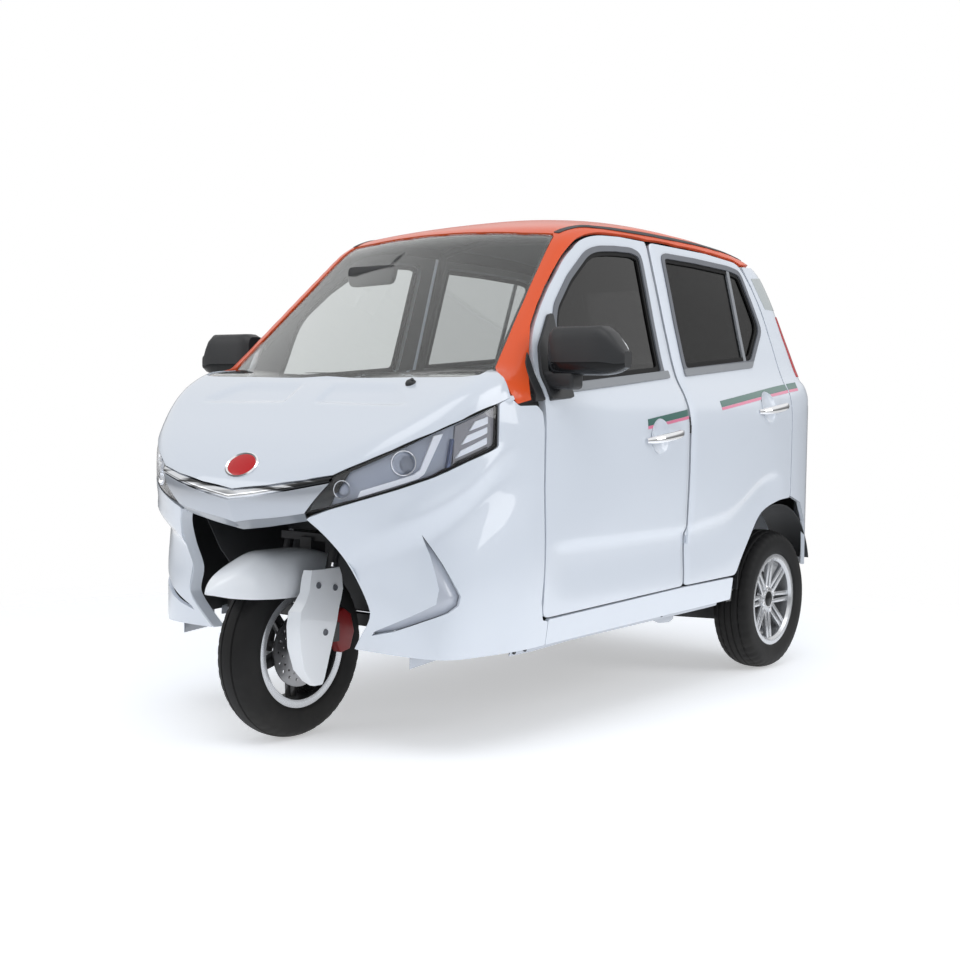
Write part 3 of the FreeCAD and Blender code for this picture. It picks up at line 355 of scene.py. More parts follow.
# height to half width
SIDE = smooth_table([(.10, .566), (.28, .608), (.385, .622), (.45, .626), (.60, .632), (.80, .637),
                     (.89, .637), (.95, .630), (1.0, .612), (1.062, .578), (1.2, .536), (1.35, .497),
                     (1.505, .456), (1.75, .392)])
# half width to station of the front, above and below the crease over the bumper corner
NOSE_HIGH = smooth_table([(0, -1.238), (.12, -1.232), (.222, -1.216), (.30, -1.190), (.38, -1.150),
                          (.458, -1.093), (.503, -1.04), (.555, -.955), (.598, -.835), (.622, -.70),
                          (.645, -.48), (.72, .6)])
NOSE_LOW = smooth_table([(0, -1.11), (.282, -1.095), (.35, -1.083), (.45, -1.055), (.52, -1.022),
                         (.575, -.980), (.610, -.93), (.63, -.85), (.65, -.62), (.72, .6)])
# height to station of the nose and of the tail
FRONT = smooth_table([(.10, -.95), (.28, -1.045), (.45, -1.125), (.614, -1.200), (.68, -1.224),
                      (.70, -1.228), (.724, -1.222), (.782, -1.180), (.85, -1.110), (.918, -1.020),
                      (.985, -.925), (1.03, -.850), (1.047, -.815), (1.058, -.775), (1.066, -.60)])
REAR = smooth_table([(.10, 1.31), (.80, 1.31), (.86, 1.304), (.93, 1.275), (1.0, 1.235), (1.062, 1.195),
                     (1.3, 1.05)])
REAR_PLAN = smooth_table([(0, 1.315), (.40, 1.312), (.46, 1.305), (.52, 1.285), (.56, 1.255), (.585, 1.205),
                          (.605, 1.10), (.622, .93), (.637, .70), (.65, .3), (.72, -1.0)])
# station to height of the roof's middle, of its rails, and height to station of the sloping tail
ROOF = smooth_table([(-.60, 1.44), (-.321, 1.511), (-.18, 1.545), (-.04, 1.572), (.11, 1.594), (.265, 1.606),
                     (.45, 1.602), (.64, 1.583), (.82, 1.554), (.98, 1.514), (1.05, 1.49)])
RAIL = smooth_table([(-.60, 1.40), (-.33, 1.478), (-.095, 1.533), (.10, 1.543), (.28, 1.548), (.552, 1.543),
                     (.75, 1.531), (.889, 1.514), (.98, 1.498), (1.1, 1.47)])
GATE = smooth_table([(.9, 1.245), (1.084, 1.187), (1.20, 1.150), (1.327, 1.105), (1.452, 1.040),
                     (1.512, .985), (1.6, .88)])


# %% The body as one distance function
def read_table(curve, at):
    return np.interp(at, curve[0], curve[1]), np.interp(at, curve[0], curve[2])


def curve_gap(curve, across, along):
    """How far a point lies ahead of a curve, square to it."""
    value, slope = read_table(curve, across)
    return (value - along) / np.sqrt(1 + slope ** 2)


def lower_gap(x, y, z):
    width, slope = read_table(SIDE, z)
    gap = (x - width) / np.sqrt(1 + slope ** 2)
    low = 1 - smooth_step(z, .45, .76)
    nose = (1 - low) * curve_gap(NOSE_HIGH, x, y) + low * curve_gap(NOSE_LOW, x, y)
    gap = smooth_max(gap, nose, .05)
    gap = smooth_max(gap, curve_gap(FRONT, z, y), .05)
    gap = smooth_max(gap, -curve_gap(REAR_PLAN, x, y), .03)
    gap = smooth_max(gap, -curve_gap(REAR, z, y), .03)
    return smooth_max(gap, z - 1.07, .02)


def cab_gap(x, y, z):
    width, slope = read_table(SIDE, z)
    gap = (x - width) / np.sqrt(1 + slope ** 2)
    screen = (-.830 + .344 * x * x + (z - 1.047) * 1.1017 - y) * .672
    gap = smooth_max(gap, screen, .03)
    top, _ = read_table(ROOF, y)
    crown = top - read_table(RAIL, y)[0]
    gap = smooth_max(gap, (z - top + crown * (x / .44) ** 2) * .97, .035)
    gap = smooth_max(gap, -curve_gap(GATE, z, y), .06)
    gap = smooth_max(gap, -curve_gap(REAR_PLAN, x, y), .03)
    return np.maximum(gap, .98 - z)


def body_gap(p):
    """Signed distance of rows of x, y, z from the painted skin, outside positive."""
    x, y, z = np.abs(p[:, 0]), p[:, 1], p[:, 2]
    return np.minimum(lower_gap(x, y, z), cab_gap(x, y, z))


def sunk(depth, gap=body_gap):
    """The same surface, moved inwards."""
    return lambda p: gap(p) + depth


def cast(start, end, gap=body_gap):
    """Where the lines from start, outside, to end, inside, meet the surface."""
    a, b = start.astype(float).copy(), end.astype(float).copy()
    for _ in range(32):
        mid = (a + b) / 2
        out = gap(mid) > 0
        a[out] = mid[out]
        b[~out] = mid[~out]
    return (a + b) / 2


# %% [markdown]
# A panel is drawn flat, as an outline with its windows, ruled into small cells, and then laid on
# the body. Four ways of looking are enough: from the side, from the front, round an upright axis for the
# corners, and as a dome for the roof with its pillars. Ruling is bmesh's bisect, so cells follow the
# outline exactly and the cut edge stays crisp.

# %% Ways of looking at the body
def straight(axis, outside, inside):
    """Looking along an axis; u and v are the other two coordinates."""
    return lambda uv: (np.insert(uv, axis, outside, axis=1), np.insert(uv, axis, inside, axis=1))


side_view = straight(0, .9, .2)  # the left side
front_view = straight(1, -1.5, .0)
rear_view = straight(1, 1.6, .5)
top_view = straight(2, 2.0, 1.1)


def around(axis_y, facing):
    """u is the angle in degrees from the nose (facing -1) or the tail (facing 1)."""
    def look(uv):
        turn = np.radians(uv[:, 0])
        reach = np.stack([np.sin(turn), facing * np.cos(turn), np.zeros(len(uv))], 1)
        end = np.stack([np.zeros(len(uv)), np.full(len(uv), axis_y), uv[:, 1]], 1)
        return end + reach * 1.4, end + reach * .05
    return look


NOSE_AXIS = -.55
TAIL_AXIS = .60
nose_turn = around(NOSE_AXIS, -1)
tail_turn = around(TAIL_AXIS, 1)


def dome(centre, tilt, reach=1.5):
    """Looking in at a centre; u, v are radians from a pole tilted forward. Also gives the way back."""
    centre = np.array(centre)
    pole = np.array([0, -math.sin(tilt), math.cos(tilt)])
    along = np.array([0, math.cos(tilt), math.sin(tilt)])

    def look(uv):
        lean = np.hypot(uv[:, 0], uv[:, 1])
        safe = np.maximum(lean, 1e-9)
        side = np.sin(lean) / safe
        way = np.outer(side * uv[:, 0], (1, 0, 0)) + np.outer(side * uv[:, 1], along)
        way = way + np.outer(np.cos(lean), pole)
        return centre + way * reach, centre + way * .05

    def flat(points):
        d = np.array(points, float) - centre
        a, b, c = d[:, 0], d @ along, d @ pole
        out = np.maximum(np.hypot(a, b), 1e-9)
        lean = np.arctan2(out, c)
        return [(float(u), float(v)) for u, v in zip(lean * a / out, lean * b / out)]

    return look, flat


dome_view, to_dome = dome((0, .12, .88), 0)
hood_view, to_hood = dome((0, -.62, .58), .75)


def to_tail_turn(points):
    """The flat points, for the view round the tail, of points on the body."""
    return [(math.degrees(math.atan2(x, y - TAIL_AXIS)), z) for x, y, z in points]


def both_halves(half):
    """A closed outline from its right half, which starts and ends on the centre line."""
    return half + [(-u, v) for u, v in reversed(half[1:-1])]


def rectangle(low_u, low_v, high_u, high_v):
    return [(low_u, low_v), (high_u, low_v), (high_u, high_v), (low_u, high_v)]


def lay(points, look, gap=body_gap):
    """The flat points on the body, as rows of x, y, z."""
    start, end = look(np.array(points, float))
    return cast(start, end, gap)


# %% Outlines
def rounded(points, size, steps=4, closed=True):
    """Cuts each corner with a small curve; size may be one number or one for each point."""
    count = len(points)
    sizes = size if hasattr(size, "__len__") else [size] * count
    result = []
    for i, point in enumerate(points):
        p = Vector(point)
        before, after = Vector(points[i - 1]), Vector(points[(i + 1) % count])
        if sizes[i] <= 0 or (not closed and i in (0, count - 1)):
            result.append(tuple(p))
            continue
        a = p + (before - p).normalized() * min(sizes[i], (before - p).length * .48)
        b = p + (after - p).normalized() * min(sizes[i], (after - p).length * .48)
        for k in range(steps + 1):
            t = k / steps
            result.append(tuple(a * (1 - t) ** 2 + p * 2 * t * (1 - t) + b * t * t))
    return result


def inset(points, distance):
    """The outline moved inwards by a distance, corner by corner."""
    area = sum(a[0] * b[1] - b[0] * a[1] for a, b in zip(points, points[1:] + points[:1]))
    turn = 1 if area > 0 else -1
    moved = []
    for i, point in enumerate(points):
        p = Vector(point)
        a = (p - Vector(points[i - 1])).normalized()
        b = (Vector(points[(i + 1) % len(points)]) - p).normalized()
        na, nb = Vector((-a.y, a.x)) * turn, Vector((-b.y, b.x)) * turn
        way = na + nb
        moved.append(tuple(p + way * (distance / max(.35, (way.length_squared / 2)))))
    return moved


def ruled(outline, step, holes=()):
    """A flat sheet of the outline, less its holes, ruled into cells."""
    bm = bmesh.new()
    for loop in (outline, *holes):
        corners = [bm.verts.new((u, v, 0)) for u, v in loop]
        for a, b in zip(corners, corners[1:] + corners[:1]):
            bm.edges.new((a, b))
    bmesh.ops.triangle_fill(bm, use_beauty=True, use_dissolve=False, edges=bm.edges[:], normal=(0, 0, 1))
    bmesh.ops.dissolve_limit(bm, angle_limit=.01, use_dissolve_boundaries=False, verts=bm.verts[:],
                             edges=bm.edges[:])
    for axis, pitch in enumerate(step):
        values = [p[axis] for p in outline]
        low, high = min(values), max(values)
        count = max(1, round((high - low) / pitch))
        for k in range(1, count):
            place = [0, 0, 0]
            place[axis] = low + (high - low) * k / count
            normal = [0, 0, 0]
            normal[axis] = 1
            bmesh.ops.bisect_plane(bm, geom=bm.verts[:] + bm.edges[:] + bm.faces[:], dist=1e-7,
                                   plane_co=place, plane_no=normal)
    bmesh.ops.remove_doubles(bm, verts=bm.verts[:], dist=min(.001, min(step) * .08))
    bmesh.ops.triangulate(bm, faces=[f for f in bm.faces if len(f.verts) > 4])
    return bm


# %% From a flat sheet to a painted panel
def keep(bm, name, body, materials, smooth=True):
    """Turns a finished bmesh into a piece that rides on a body."""
    mesh = bpy.data.meshes.new(name)
    bm.to_mesh(mesh)
    bm.free()
    for face in mesh.polygons:
        face.use_smooth = smooth
    for material in materials if isinstance(materials, (list, tuple)) else [materials]:
        mesh.materials.append(material)
    piece = bpy.data.objects.new(name, mesh)
    bpy.context.scene.collection.objects.link(piece)
    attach(piece, body)
    return piece


def wall(piece, thickness, bevel=.0012, inside=0):
    """Gives a sheet its wall, inwards, and eases its edges."""
    solid = piece.modifiers.new("wall", "SOLIDIFY")
    solid.thickness, solid.offset, solid.use_even_offset = thickness, -1, False
    solid.material_offset = inside
    if bevel is not None:
        edge = piece.modifiers.new("edge", "BEVEL")
        edge.width, edge.segments = (bevel, 2) if bevel else (min(.0005, thickness * .2), 1)
        edge.limit_method, edge.angle_limit = "ANGLE", math.radians(50)
        edge.harden_normals = edge.use_clamp_overlap = True
    return piece


def panel(name, body, outline, look, step, material, gap=body_gap, holes=(), thickness=.010, inside=None,
          bevel=.0012):
    """A flat outline with its holes, laid on a surface and given a wall; inside is its inner finish."""
    bm = ruled(outline, step, holes)
    flat = np.array([(v.co.x, v.co.y) for v in bm.verts])
    start, end = look(flat)
    for vert, co in zip(bm.verts, cast(start, end, gap)):
        vert.co = co
    outward = start - end
    bm.verts.index_update()
    bm.normal_update()
    face = max(bm.faces, key=lambda f: f.calc_area())
    if face.normal.dot(Vector(outward[face.verts[0].index])) < 0:
        bmesh.ops.reverse_faces(bm, faces=bm.faces[:])
    piece = keep(bm, name, body, [material] + ([inside] if inside else []))
    wall(piece, thickness, bevel, 1 if inside else 0)
    print(name, len(piece.data.polygons), "cells")
    return piece


COPIED = {
    "SOLIDIFY": ("thickness", "offset", "use_even_offset", "material_offset"),
    "BEVEL": ("width", "segments", "limit_method", "angle_limit", "harden_normals", "use_clamp_overlap"),
}


def other_side(piece, name, body):
    """The same piece on the vehicle's right side."""
    bm = bmesh.new()
    bm.from_mesh(piece.data)
    bmesh.ops.scale(bm, vec=(-1, 1, 1), verts=bm.verts[:])
    bmesh.ops.reverse_faces(bm, faces=bm.faces[:])
    copy = keep(bm, name, body, list(piece.data.materials))
    for face, source in zip(copy.data.polygons, piece.data.polygons):
        face.use_smooth = source.use_smooth
        face.material_index = source.material_index
    for source in piece.modifiers:
        made = copy.modifiers.new(source.name, source.type)
        for key in COPIED[source.type]:
            setattr(made, key, getattr(source, key))
    if "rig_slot" in piece:
        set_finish(copy, piece["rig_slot"])
    return copy


def pair(piece, body, node=None):
    """Makes the right-hand twin of a left-hand piece, and stands both for their CAD nodes."""
    twin = other_side(piece, piece.name.replace("left", "right"), body.replace("left", "right"))
    if node:
        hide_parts(node)
        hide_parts(node.replace("left", "right"))
    return twin


# %% [markdown]
# The other pieces are turned, lofted or cut from plate. A handful of helpers cover them: a lathe, a
# skin over rows of points, a tube along a path, a plate with holes, and an eased block. Each returns a
# bmesh, so a piece can be joined from several before it is kept.

# %% Turned, lofted and flat shapes
def place(bm, centre, axis="X"):
    """Turns a shape made along X to its axis, and moves it to its centre."""
    turns = {"X": Matrix(), "-X": Matrix.Rotation(math.pi, 4, "Z"), "Y": Matrix.Rotation(math.pi / 2, 4, "Z"),
             "-Y": Matrix.Rotation(-math.pi / 2, 4, "Z"), "Z": Matrix.Rotation(-math.pi / 2, 4, "Y")}
    if isinstance(axis, str):
        turn = turns[axis]
    else:
        way = Vector(axis).normalized()
        level = Vector((0, 0, 1)).cross(way).normalized()
        turn = Matrix((way, level, way.cross(level))).transposed().to_4x4()
    bmesh.ops.transform(bm, matrix=Matrix.Translation(Vector(centre)) @ turn, verts=bm.verts[:])
    return bm


def lathe(profile, centre=(0, 0, 0), axis="X", steps=64, closed=True):
    """Spins an outline of along, radius about an axis through the centre."""
    bm = bmesh.new()
    corners = [bm.verts.new((a, 0, r)) for a, r in profile]
    edges = [bm.edges.new(pair) for pair in zip(corners, corners[1:] + (corners[:1] if closed else []))]
    bmesh.ops.spin(bm, geom=corners + edges, cent=(0, 0, 0), axis=(1, 0, 0), angle=math.tau, steps=steps,
                   use_merge=True)
    bmesh.ops.remove_doubles(bm, verts=bm.verts[:], dist=1e-6)
    bmesh.ops.dissolve_degenerate(bm, edges=bm.edges[:], dist=1e-7)
    bmesh.ops.recalc_face_normals(bm, faces=bm.faces[:])
    return place(bm, centre, axis)


def skin(rows, capped=False):
    """A grid laid on rows of points; ends that meet are merged, and capped fills what stays open."""
    rows = np.array(rows, float)
    n, m = rows.shape[:2]
    bm = bmesh.new()
    bmesh.ops.create_grid(bm, x_segments=m - 1, y_segments=n - 1, size=1)
    order = sorted(bm.verts, key=lambda v: (round(v.co.y, 5), round(v.co.x, 5)))
    for vert, co in zip(order, rows.reshape(-1, 3)):
        vert.co = co
    bmesh.ops.remove_doubles(bm, verts=bm.verts[:], dist=1e-6)
    if capped:
        bmesh.ops.holes_fill(bm, edges=[e for e in bm.edges if e.is_boundary], sides=0)
    bmesh.ops.recalc_face_normals(bm, faces=bm.faces[:])
    return bm


def tube(path, radius, sides=14, flat=1.0):
    """A round or flattened tube along a path; radius is one number or one for each point."""
    path = [Vector(p) for p in path]
    radii = radius if hasattr(radius, "__len__") else [radius] * len(path)
    rows = []
    normal = None
    for i, point in enumerate(path):
        way = (path[min(i + 1, len(path) - 1)] - path[max(i - 1, 0)]).normalized()
        if normal is None:
            normal = way.orthogonal() if abs(way.z) > .9 else way.cross(Vector((0, 0, 1)))
            normal.normalize()
        normal = (normal - way * normal.dot(way)).normalized()
        side = way.cross(normal)
        turns = [math.tau * k / sides for k in range(sides + 1)]
        rows.append([point + normal * math.cos(t) * radii[i] * flat + side * math.sin(t) * radii[i]
                     for t in turns])
    return skin(rows, capped=True)


def smooth_path(points, steps=8):
    """A curve through the points."""
    points = [Vector(p) for p in points]
    points = [points[0] * 2 - points[1]] + points + [points[-1] * 2 - points[-2]]
    result = []
    for a, b, c, d in zip(points, points[1:], points[2:], points[3:]):
        for k in range(steps):
            t = k / steps
            result.append(((-a + 3 * b - 3 * c + d) * t ** 3 + (2 * a - 5 * b + 4 * c - d) * t * t
                           + (c - a) * t + 2 * b) / 2)
    return result + [points[-2]]


def ease(bm, width, segments=2, angle=40):
    """Bevels the edges that are sharper than an angle."""
    sharp = [e for e in bm.edges if len(e.link_faces) == 2 and e.calc_face_angle(0) > math.radians(angle)]
    if sharp and width:
        bmesh.ops.bevel(bm, geom=sharp, offset=width, segments=segments, profile=0.5, affect="EDGES",
                        material=-1, clamp_overlap=True)
    return bm


def plate(outline, low, high, axis="X", holes=(), bevel=.001, centre=(0, 0, 0)):
    """A flat piece between two stations of an axis, its outline in the other two."""
    bm = ruled(outline, (9, 9), holes)
    grown = bmesh.ops.extrude_face_region(bm, geom=bm.faces[:])
    bmesh.ops.translate(bm, vec=(0, 0, high - low),
                        verts=[v for v in grown["geom"] if isinstance(v, bmesh.types.BMVert)])
    bmesh.ops.translate(bm, vec=(0, 0, low), verts=bm.verts[:])
    spin = {"X": Matrix(((0, 0, 1), (1, 0, 0), (0, 1, 0))), "Y": Matrix(((1, 0, 0), (0, 0, 1), (0, 1, 0))),
            "Z": Matrix.Identity(3)}
    bmesh.ops.transform(bm, matrix=spin[axis].to_4x4(), verts=bm.verts[:])
    bmesh.ops.recalc_face_normals(bm, faces=bm.faces[:])
    ease(bm, bevel)
    bmesh.ops.translate(bm, vec=centre, verts=bm.verts[:])
    return bm


def block(low, high, bevel=.004, segments=2):
    bm = bmesh.new()
    bmesh.ops.create_cube(bm, size=1)
    size = [b - a for a, b in zip(low, high)]
    bmesh.ops.scale(bm, vec=size, verts=bm.verts[:])
    bmesh.ops.translate(bm, vec=[(a + b) / 2 for a, b in zip(low, high)], verts=bm.verts[:])
    return ease(bm, bevel, segments)


def joined(parts):
    """One bmesh from several, which are freed."""
    whole = bmesh.new()
    for part in parts:
        mesh = bpy.data.meshes.new("part")
        part.to_mesh(mesh)
        part.free()
        whole.from_mesh(mesh)
        bpy.data.meshes.remove(mesh)
    return whole


def ring(centre, radius, steps=24, squeeze=1.0):
    turns = [math.tau * k / steps for k in range(steps)]
    return [(centre[0] + radius * math.cos(t), centre[1] + radius * squeeze * math.sin(t)) for t in turns]


def puffed(value, power):
    """A cosine or sine bent towards its ends, which makes an ellipse boxy."""
    return math.copysign(abs(value) ** power, value)


def shade(piece, angle=35):
    """Smooth shading that keeps edges sharper than an angle."""
    bm = bmesh.new()
    bm.from_mesh(piece.data)
    for edge in bm.edges:
        edge.smooth = len(edge.link_faces) != 2 or edge.calc_face_angle(0) < math.radians(angle)
    bm.to_mesh(piece.data)
    bm.free()
    return piece


# %% [markdown]
# Doors: each is one white shell with a window opening, framed by a dark seal. The outlines are the
# ones that the CAD doors have, with the corners eased as pressed steel has them. The shell has the
# whole thickness of a door, grey on the inside, and carries a shallow cup behind its handle.

# %% Door skins
FRONT_DOOR = [(-.605, .362), (.203, .382), (.203, 1.062), (.202, 1.25), (.201, 1.505), (.03, 1.506),
              (-.097, 1.499), (-.165, 1.487), (-.221, 1.469), (-.319, 1.410), (-.433, 1.312),
              (-.500, 1.246), (-.556, 1.185), (-.582, 1.145), (-.598, 1.085), (-.605, 1.000)]
REAR_DOOR = [(.213, .382), (.566, .386), (.600, .441), (.645, .495), (.715, .568), (.760, .596),
             (.815, .614), (.910, .632), (1.005, .636), (1.005, .850), (1.005, 1.002), (.997, 1.062),
             (.979, 1.185), (.955, 1.300), (.915, 1.392), (.868, 1.456), (.845, 1.478), (.812, 1.490),
             (.60, 1.503), (.217, 1.505), (.215, 1.25), (.213, 1.062)]
FRONT_WINDOW = [(-.486, 1.016), (.123, 1.067), (.130, 1.26), (.137, 1.440), (.128, 1.462), (.083, 1.472),
                (-.02, 1.468), (-.111, 1.460), (-.160, 1.450), (-.201, 1.434), (-.326, 1.351),
                (-.425, 1.262), (-.452, 1.212), (-.466, 1.150)]
REAR_WINDOW = [(.269, 1.079), (.780, 1.122), (.845, 1.184), (.913, 1.250), (.880, 1.345), (.843, 1.440),
               (.825, 1.458), (.750, 1.468), (.50, 1.474), (.300, 1.474), (.278, 1.462), (.272, 1.25)]
FRONT_DOOR = rounded(FRONT_DOOR, [.03, .012, 0, 0, .02, 0, .04, .03, .03, .03, .03, .03, .03, .03, .03, .03])
REAR_DOOR = rounded(REAR_DOOR, [.012, .02, .03, .03, .03, .02, .03, .03, .02, 0, .05, .05, .04, .04, .04,
                                .02, .02, .03, 0, .02, 0, 0])
WINDOW_EASE = {"front": [.02, .014, 0, .03, .02, .02, 0, .02, .02, .02, .02, .02, .02, .02],
               "rear": [.014, .02, .01, .03, .02, .02, .02, .02, 0, .02, .02, 0]}
WINDOW = {"front": FRONT_WINDOW, "rear": REAR_WINDOW}


def window(place, inward):
    return rounded(inset(WINDOW[place], inward), WINDOW_EASE[place], 3)


CUPS = ((.006, .872, .052), (.800, .968, .052))


def scoop(p):
    """Pressed detail of the sides: cups behind the handles, the crease over the sill, and the doors'
    edges eased inwards where they meet, so that the rear door swings past the front one."""
    y, z = p[:, 1], p[:, 2]
    depth = .0055 * (1 - smooth_step(np.abs(y - .209), .004, .032))
    for cy, cz, radius in CUPS:
        away = np.hypot(y - cy, z - cz) / radius
        depth += .015 * np.clip(1 - away ** 2, 0, 1) ** .6
    crease = .575 + .05 * smooth_step(y, .1, .75) + .11 * smooth_step(y, .45, .85)
    below = crease - z
    hollow = smooth_step(below, 0, .028) * (1 - smooth_step(below, .05, .20)) * .010
    hollow = hollow * smooth_step(y, -.62, -.45) * (1 - smooth_step(y, .75, .95))
    return depth + hollow


def side_gap(p):
    return body_gap(p) + scoop(p)


door_front = panel("door_front_left_skin", "door_front_left", FRONT_DOOR, side_view, (.013, .013),
                   white_paint, side_gap, [window("front", .002)], .024, cabin_grey)
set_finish(door_front, "white_paint")
pair(door_front, "door_front_left", "door_front_left")
door_rear = panel("door_rear_left_skin", "door_rear_left", REAR_DOOR, side_view, (.013, .013), white_paint,
                  side_gap, [window("rear", .002)], .024, cabin_grey)
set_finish(door_rear, "white_paint")
pair(door_rear, "door_rear_left", "door_rear_left")

# %% [markdown]
# Round each window runs a raised satin moulding, and inside it a black seal that holds the pane.
# A lighter strip closes the lower edge, where the pane winds down. The rear pane is parted by a bar.

# %% Window mouldings, seals and glass
for place_name in ("front", "rear"):
    body = f"door_{place_name}_left"
    trim = panel(f"window_trim_{place_name}_left", body, window(place_name, -.005), side_view, (.02, .02),
                 trim_grey, sunk(-.004), [window(place_name, .013)], .012, bevel=.002)
    pair(trim, body)
    seal = panel(f"window_seal_{place_name}_left", body, window(place_name, .012), side_view, (.02, .02),
                 rubber, sunk(.001), [window(place_name, .027)], .016, bevel=.002)
    pair(seal, body)
    painted_shade_outside = dark_glass if place_name == "front" else rear_glass
    glass = panel(f"window_glass_{place_name}_left", body, window(place_name, .022), side_view, (.05, .05),
                  painted_shade_outside, sunk(.007), (), .004, pane_glass, bevel=0)
    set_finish(glass, "dark_glass")
    pair(glass, body, f"glass_{place_name}_left")
BELTS = {"front": [(-.478, 1.004), (.153, 1.059), (.153, 1.083), (-.470, 1.029)],
         "rear": [(.262, 1.066), (.770, 1.108), (.795, 1.132), (.262, 1.090)]}
for place_name, outline in BELTS.items():
    belt = panel(f"belt_strip_{place_name}_left", f"door_{place_name}_left", rounded(outline, .006, 2),
                 side_view, (.03, .02), belt_grey, sunk(-.006), (), .012, bevel=.002)
    pair(belt, f"door_{place_name}_left")
BAR = [(.722, 1.108), (.742, 1.110), (.757, 1.463), (.737, 1.464)]
bar = panel("window_bar_left", "door_rear_left", BAR, side_view, (.02, .02), belt_grey, sunk(-.001), (),
            .010, bevel=.002)
pair(bar, "door_rear_left")

# %% [markdown]
# The stripe is a thin film in two colours that rises towards the rear. Its words are left off, and their
# place stays bare. It is laid on the skins as narrow strips, so it bends and swings with each door.

# %% Stripe along the side
varnish = {"Coat Weight": 0.8, "Coat Roughness": 0.06}
stripe_green = finish("stripe_green_film", (0.035, 0.145, 0.115), 0.30, 0.04, 1500, fixed=varnish)
stripe_pink = finish("stripe_pink_film", (0.86, 0.22, 0.36), 0.30, 0.04, 1500, fixed=varnish)


def stripe_top(y):
    """Height of the stripe's upper edge, which rises and then levels out."""
    return .934 + .122 * y - .045 * max(0, y - .75) ** 2


def strips(start, end, high, low, cup, count=60):
    """A band from start to end; its lower edge gives way to the handle's cup, which may part it."""
    parts, part = [], []
    for y in [start + (end - start) * k / count for k in range(count + 1)]:
        top, bottom = stripe_top(y) + high, stripe_top(y) + low
        if abs(y - cup[0]) < cup[2]:
            bottom = max(bottom, cup[1] + math.sqrt(cup[2] ** 2 - (y - cup[0]) ** 2))
        if top - bottom > .0012:
            part.append((y, bottom, top))
        elif part:
            parts, part = parts + [part], []
    whole = [p for p in parts + [part] if len(p) > 2]
    return [[(y, bottom) for y, bottom, top in p] + [(y, top) for y, bottom, top in reversed(p)]
            for p in whole]


def proud(height):
    """The side with its pressings, moved outwards."""
    return sunk(-height, side_gap)


STRIPES = (  # name, body, start, end, cup
    ("front", "door_front_left", -.070, .200, CUPS[0]),
    ("rear", "door_rear_left", .430, 1.002, CUPS[1]),
    ("end", "body", 1.014, 1.100, CUPS[1]),
)
for name, body, start, end, (cup_y, cup_z, cup_r) in STRIPES:
    for label, film, high, low in (("green", stripe_green, 0, -.021), ("pink", stripe_pink, -.0215, -.031)):
        for k, outline in enumerate(strips(start, end, high, low, (cup_y, cup_z, cup_r * 1.08))):
            band = panel(f"stripe_{label}_{name}_{k + 1}_left", body, outline, side_view, (.013, .011), film,
                         proud(.0009), (), .0008, bevel=0)
            pair(band, body)

# %% [markdown]
# Pull handles: a bowed chrome bar over a round hollow, whose white cup interrupts the stripe.

# %% Door handles
for name, y, z, (cup_y, cup_z, cup_r) in (("front", .026, .872, CUPS[0]), ("rear", .824, .964, CUPS[1])):
    body = f"door_{name}_left"
    cup = panel(f"handle_cup_{name}_left", body, ring((cup_y, cup_z), cup_r * 1.06, 48), side_view,
                (.0065, .0065), white_paint, proud(.002), (), .0018, bevel=.0006)
    pair(cup, body)
    anchor = lay([(y, z)], side_view)[0]
    stations = [k / 16 * 2 - 1 for k in range(17)]
    path = [(anchor[0] + .006 + .026 * (1 - abs(t) ** 3), y + t * .110, z + t * .110 * .12) for t in stations]
    pull = tube(path, [.0135 * (1 - .45 * abs(t) ** 4) for t in stations], 16, .62)
    grip = shade(keep(pull, f"handle_pull_{name}_left", body, chrome))
    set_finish(grip, "chrome_trim")
    pair(grip, body, f"handle_{name}_left")

# %% [markdown]
# Mirrors: a satin shell over a glossy lower lip, on a black sail that fills the window's front corner.
# The shell is lofted from rounded sections, and its outer end tapers.

# %% Door mirrors
def mirror_size(x):
    """Middle and half size of the mirror's section, along the vehicle and upwards, at a place across."""
    end = smooth_step(x, .775, .848)
    tip = .72 + .28 * (1 - smooth_step(x, .822, .8485)) if x > .82 else 1
    inner = 1 - smooth_step(x, .604, .625)
    high = 1.187 - .062 * end - .010 * inner
    low = 1.050 + .012 * end + .006 * inner
    front = -.590 + .020 * end + .012 * inner
    rear = -.505 - .012 * end
    return (front + rear) / 2, (rear - front) / 2 * tip, (high + low) / 2, (high - low) / 2 * tip


def mirror_section(x):
    mid_y, half_y, mid_z, half_z = mirror_size(x)
    row = []
    for k in range(29):
        t = math.tau * k / 28
        row.append((x, mid_y + half_y * puffed(math.cos(t), .45), mid_z + half_z * puffed(math.sin(t), .5)))
    return row


MIRROR_STATIONS = (.604, .606, .612, .625, .66, .70, .74, .775, .80, .820, .832, .840, .845, .8475)
GLOSSY_BELOW = -.40  # of the half height
shell = skin([mirror_section(x) for x in MIRROR_STATIONS], capped=True)
for face in shell.faces:
    middle = face.calc_center_median()
    mid_z, half_z = mirror_size(middle.x)[2:]
    face.material_index = 1 if (middle.z - mid_z) / half_z < GLOSSY_BELOW else 0
shell = shade(keep(shell, "mirror_shell_left", "door_front_left", [black_plastic, gloss_black]), 60)
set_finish(shell, "black_plastic")
pair(shell, "door_front_left", "mirror_left")
mirror_pane = finish("mirror_pane", (0.75, 0.78, 0.80), 0.02, 0.01, fixed={"Metallic": 1.0})
pane_edge = rounded([(.622, 1.066), (.825, 1.072), (.825, 1.125), (.79, 1.165), (.622, 1.170)], .016)
pane = keep(plate(pane_edge, -.5045, -.5005, "Y"), "mirror_pane_left", "door_front_left", mirror_pane)
pair(pane, "door_front_left")
SAIL = [(-.588, .982), (-.470, .990), (-.462, 1.06), (-.455, 1.232), (-.477, 1.232), (-.560, 1.135),
        (-.588, 1.05)]
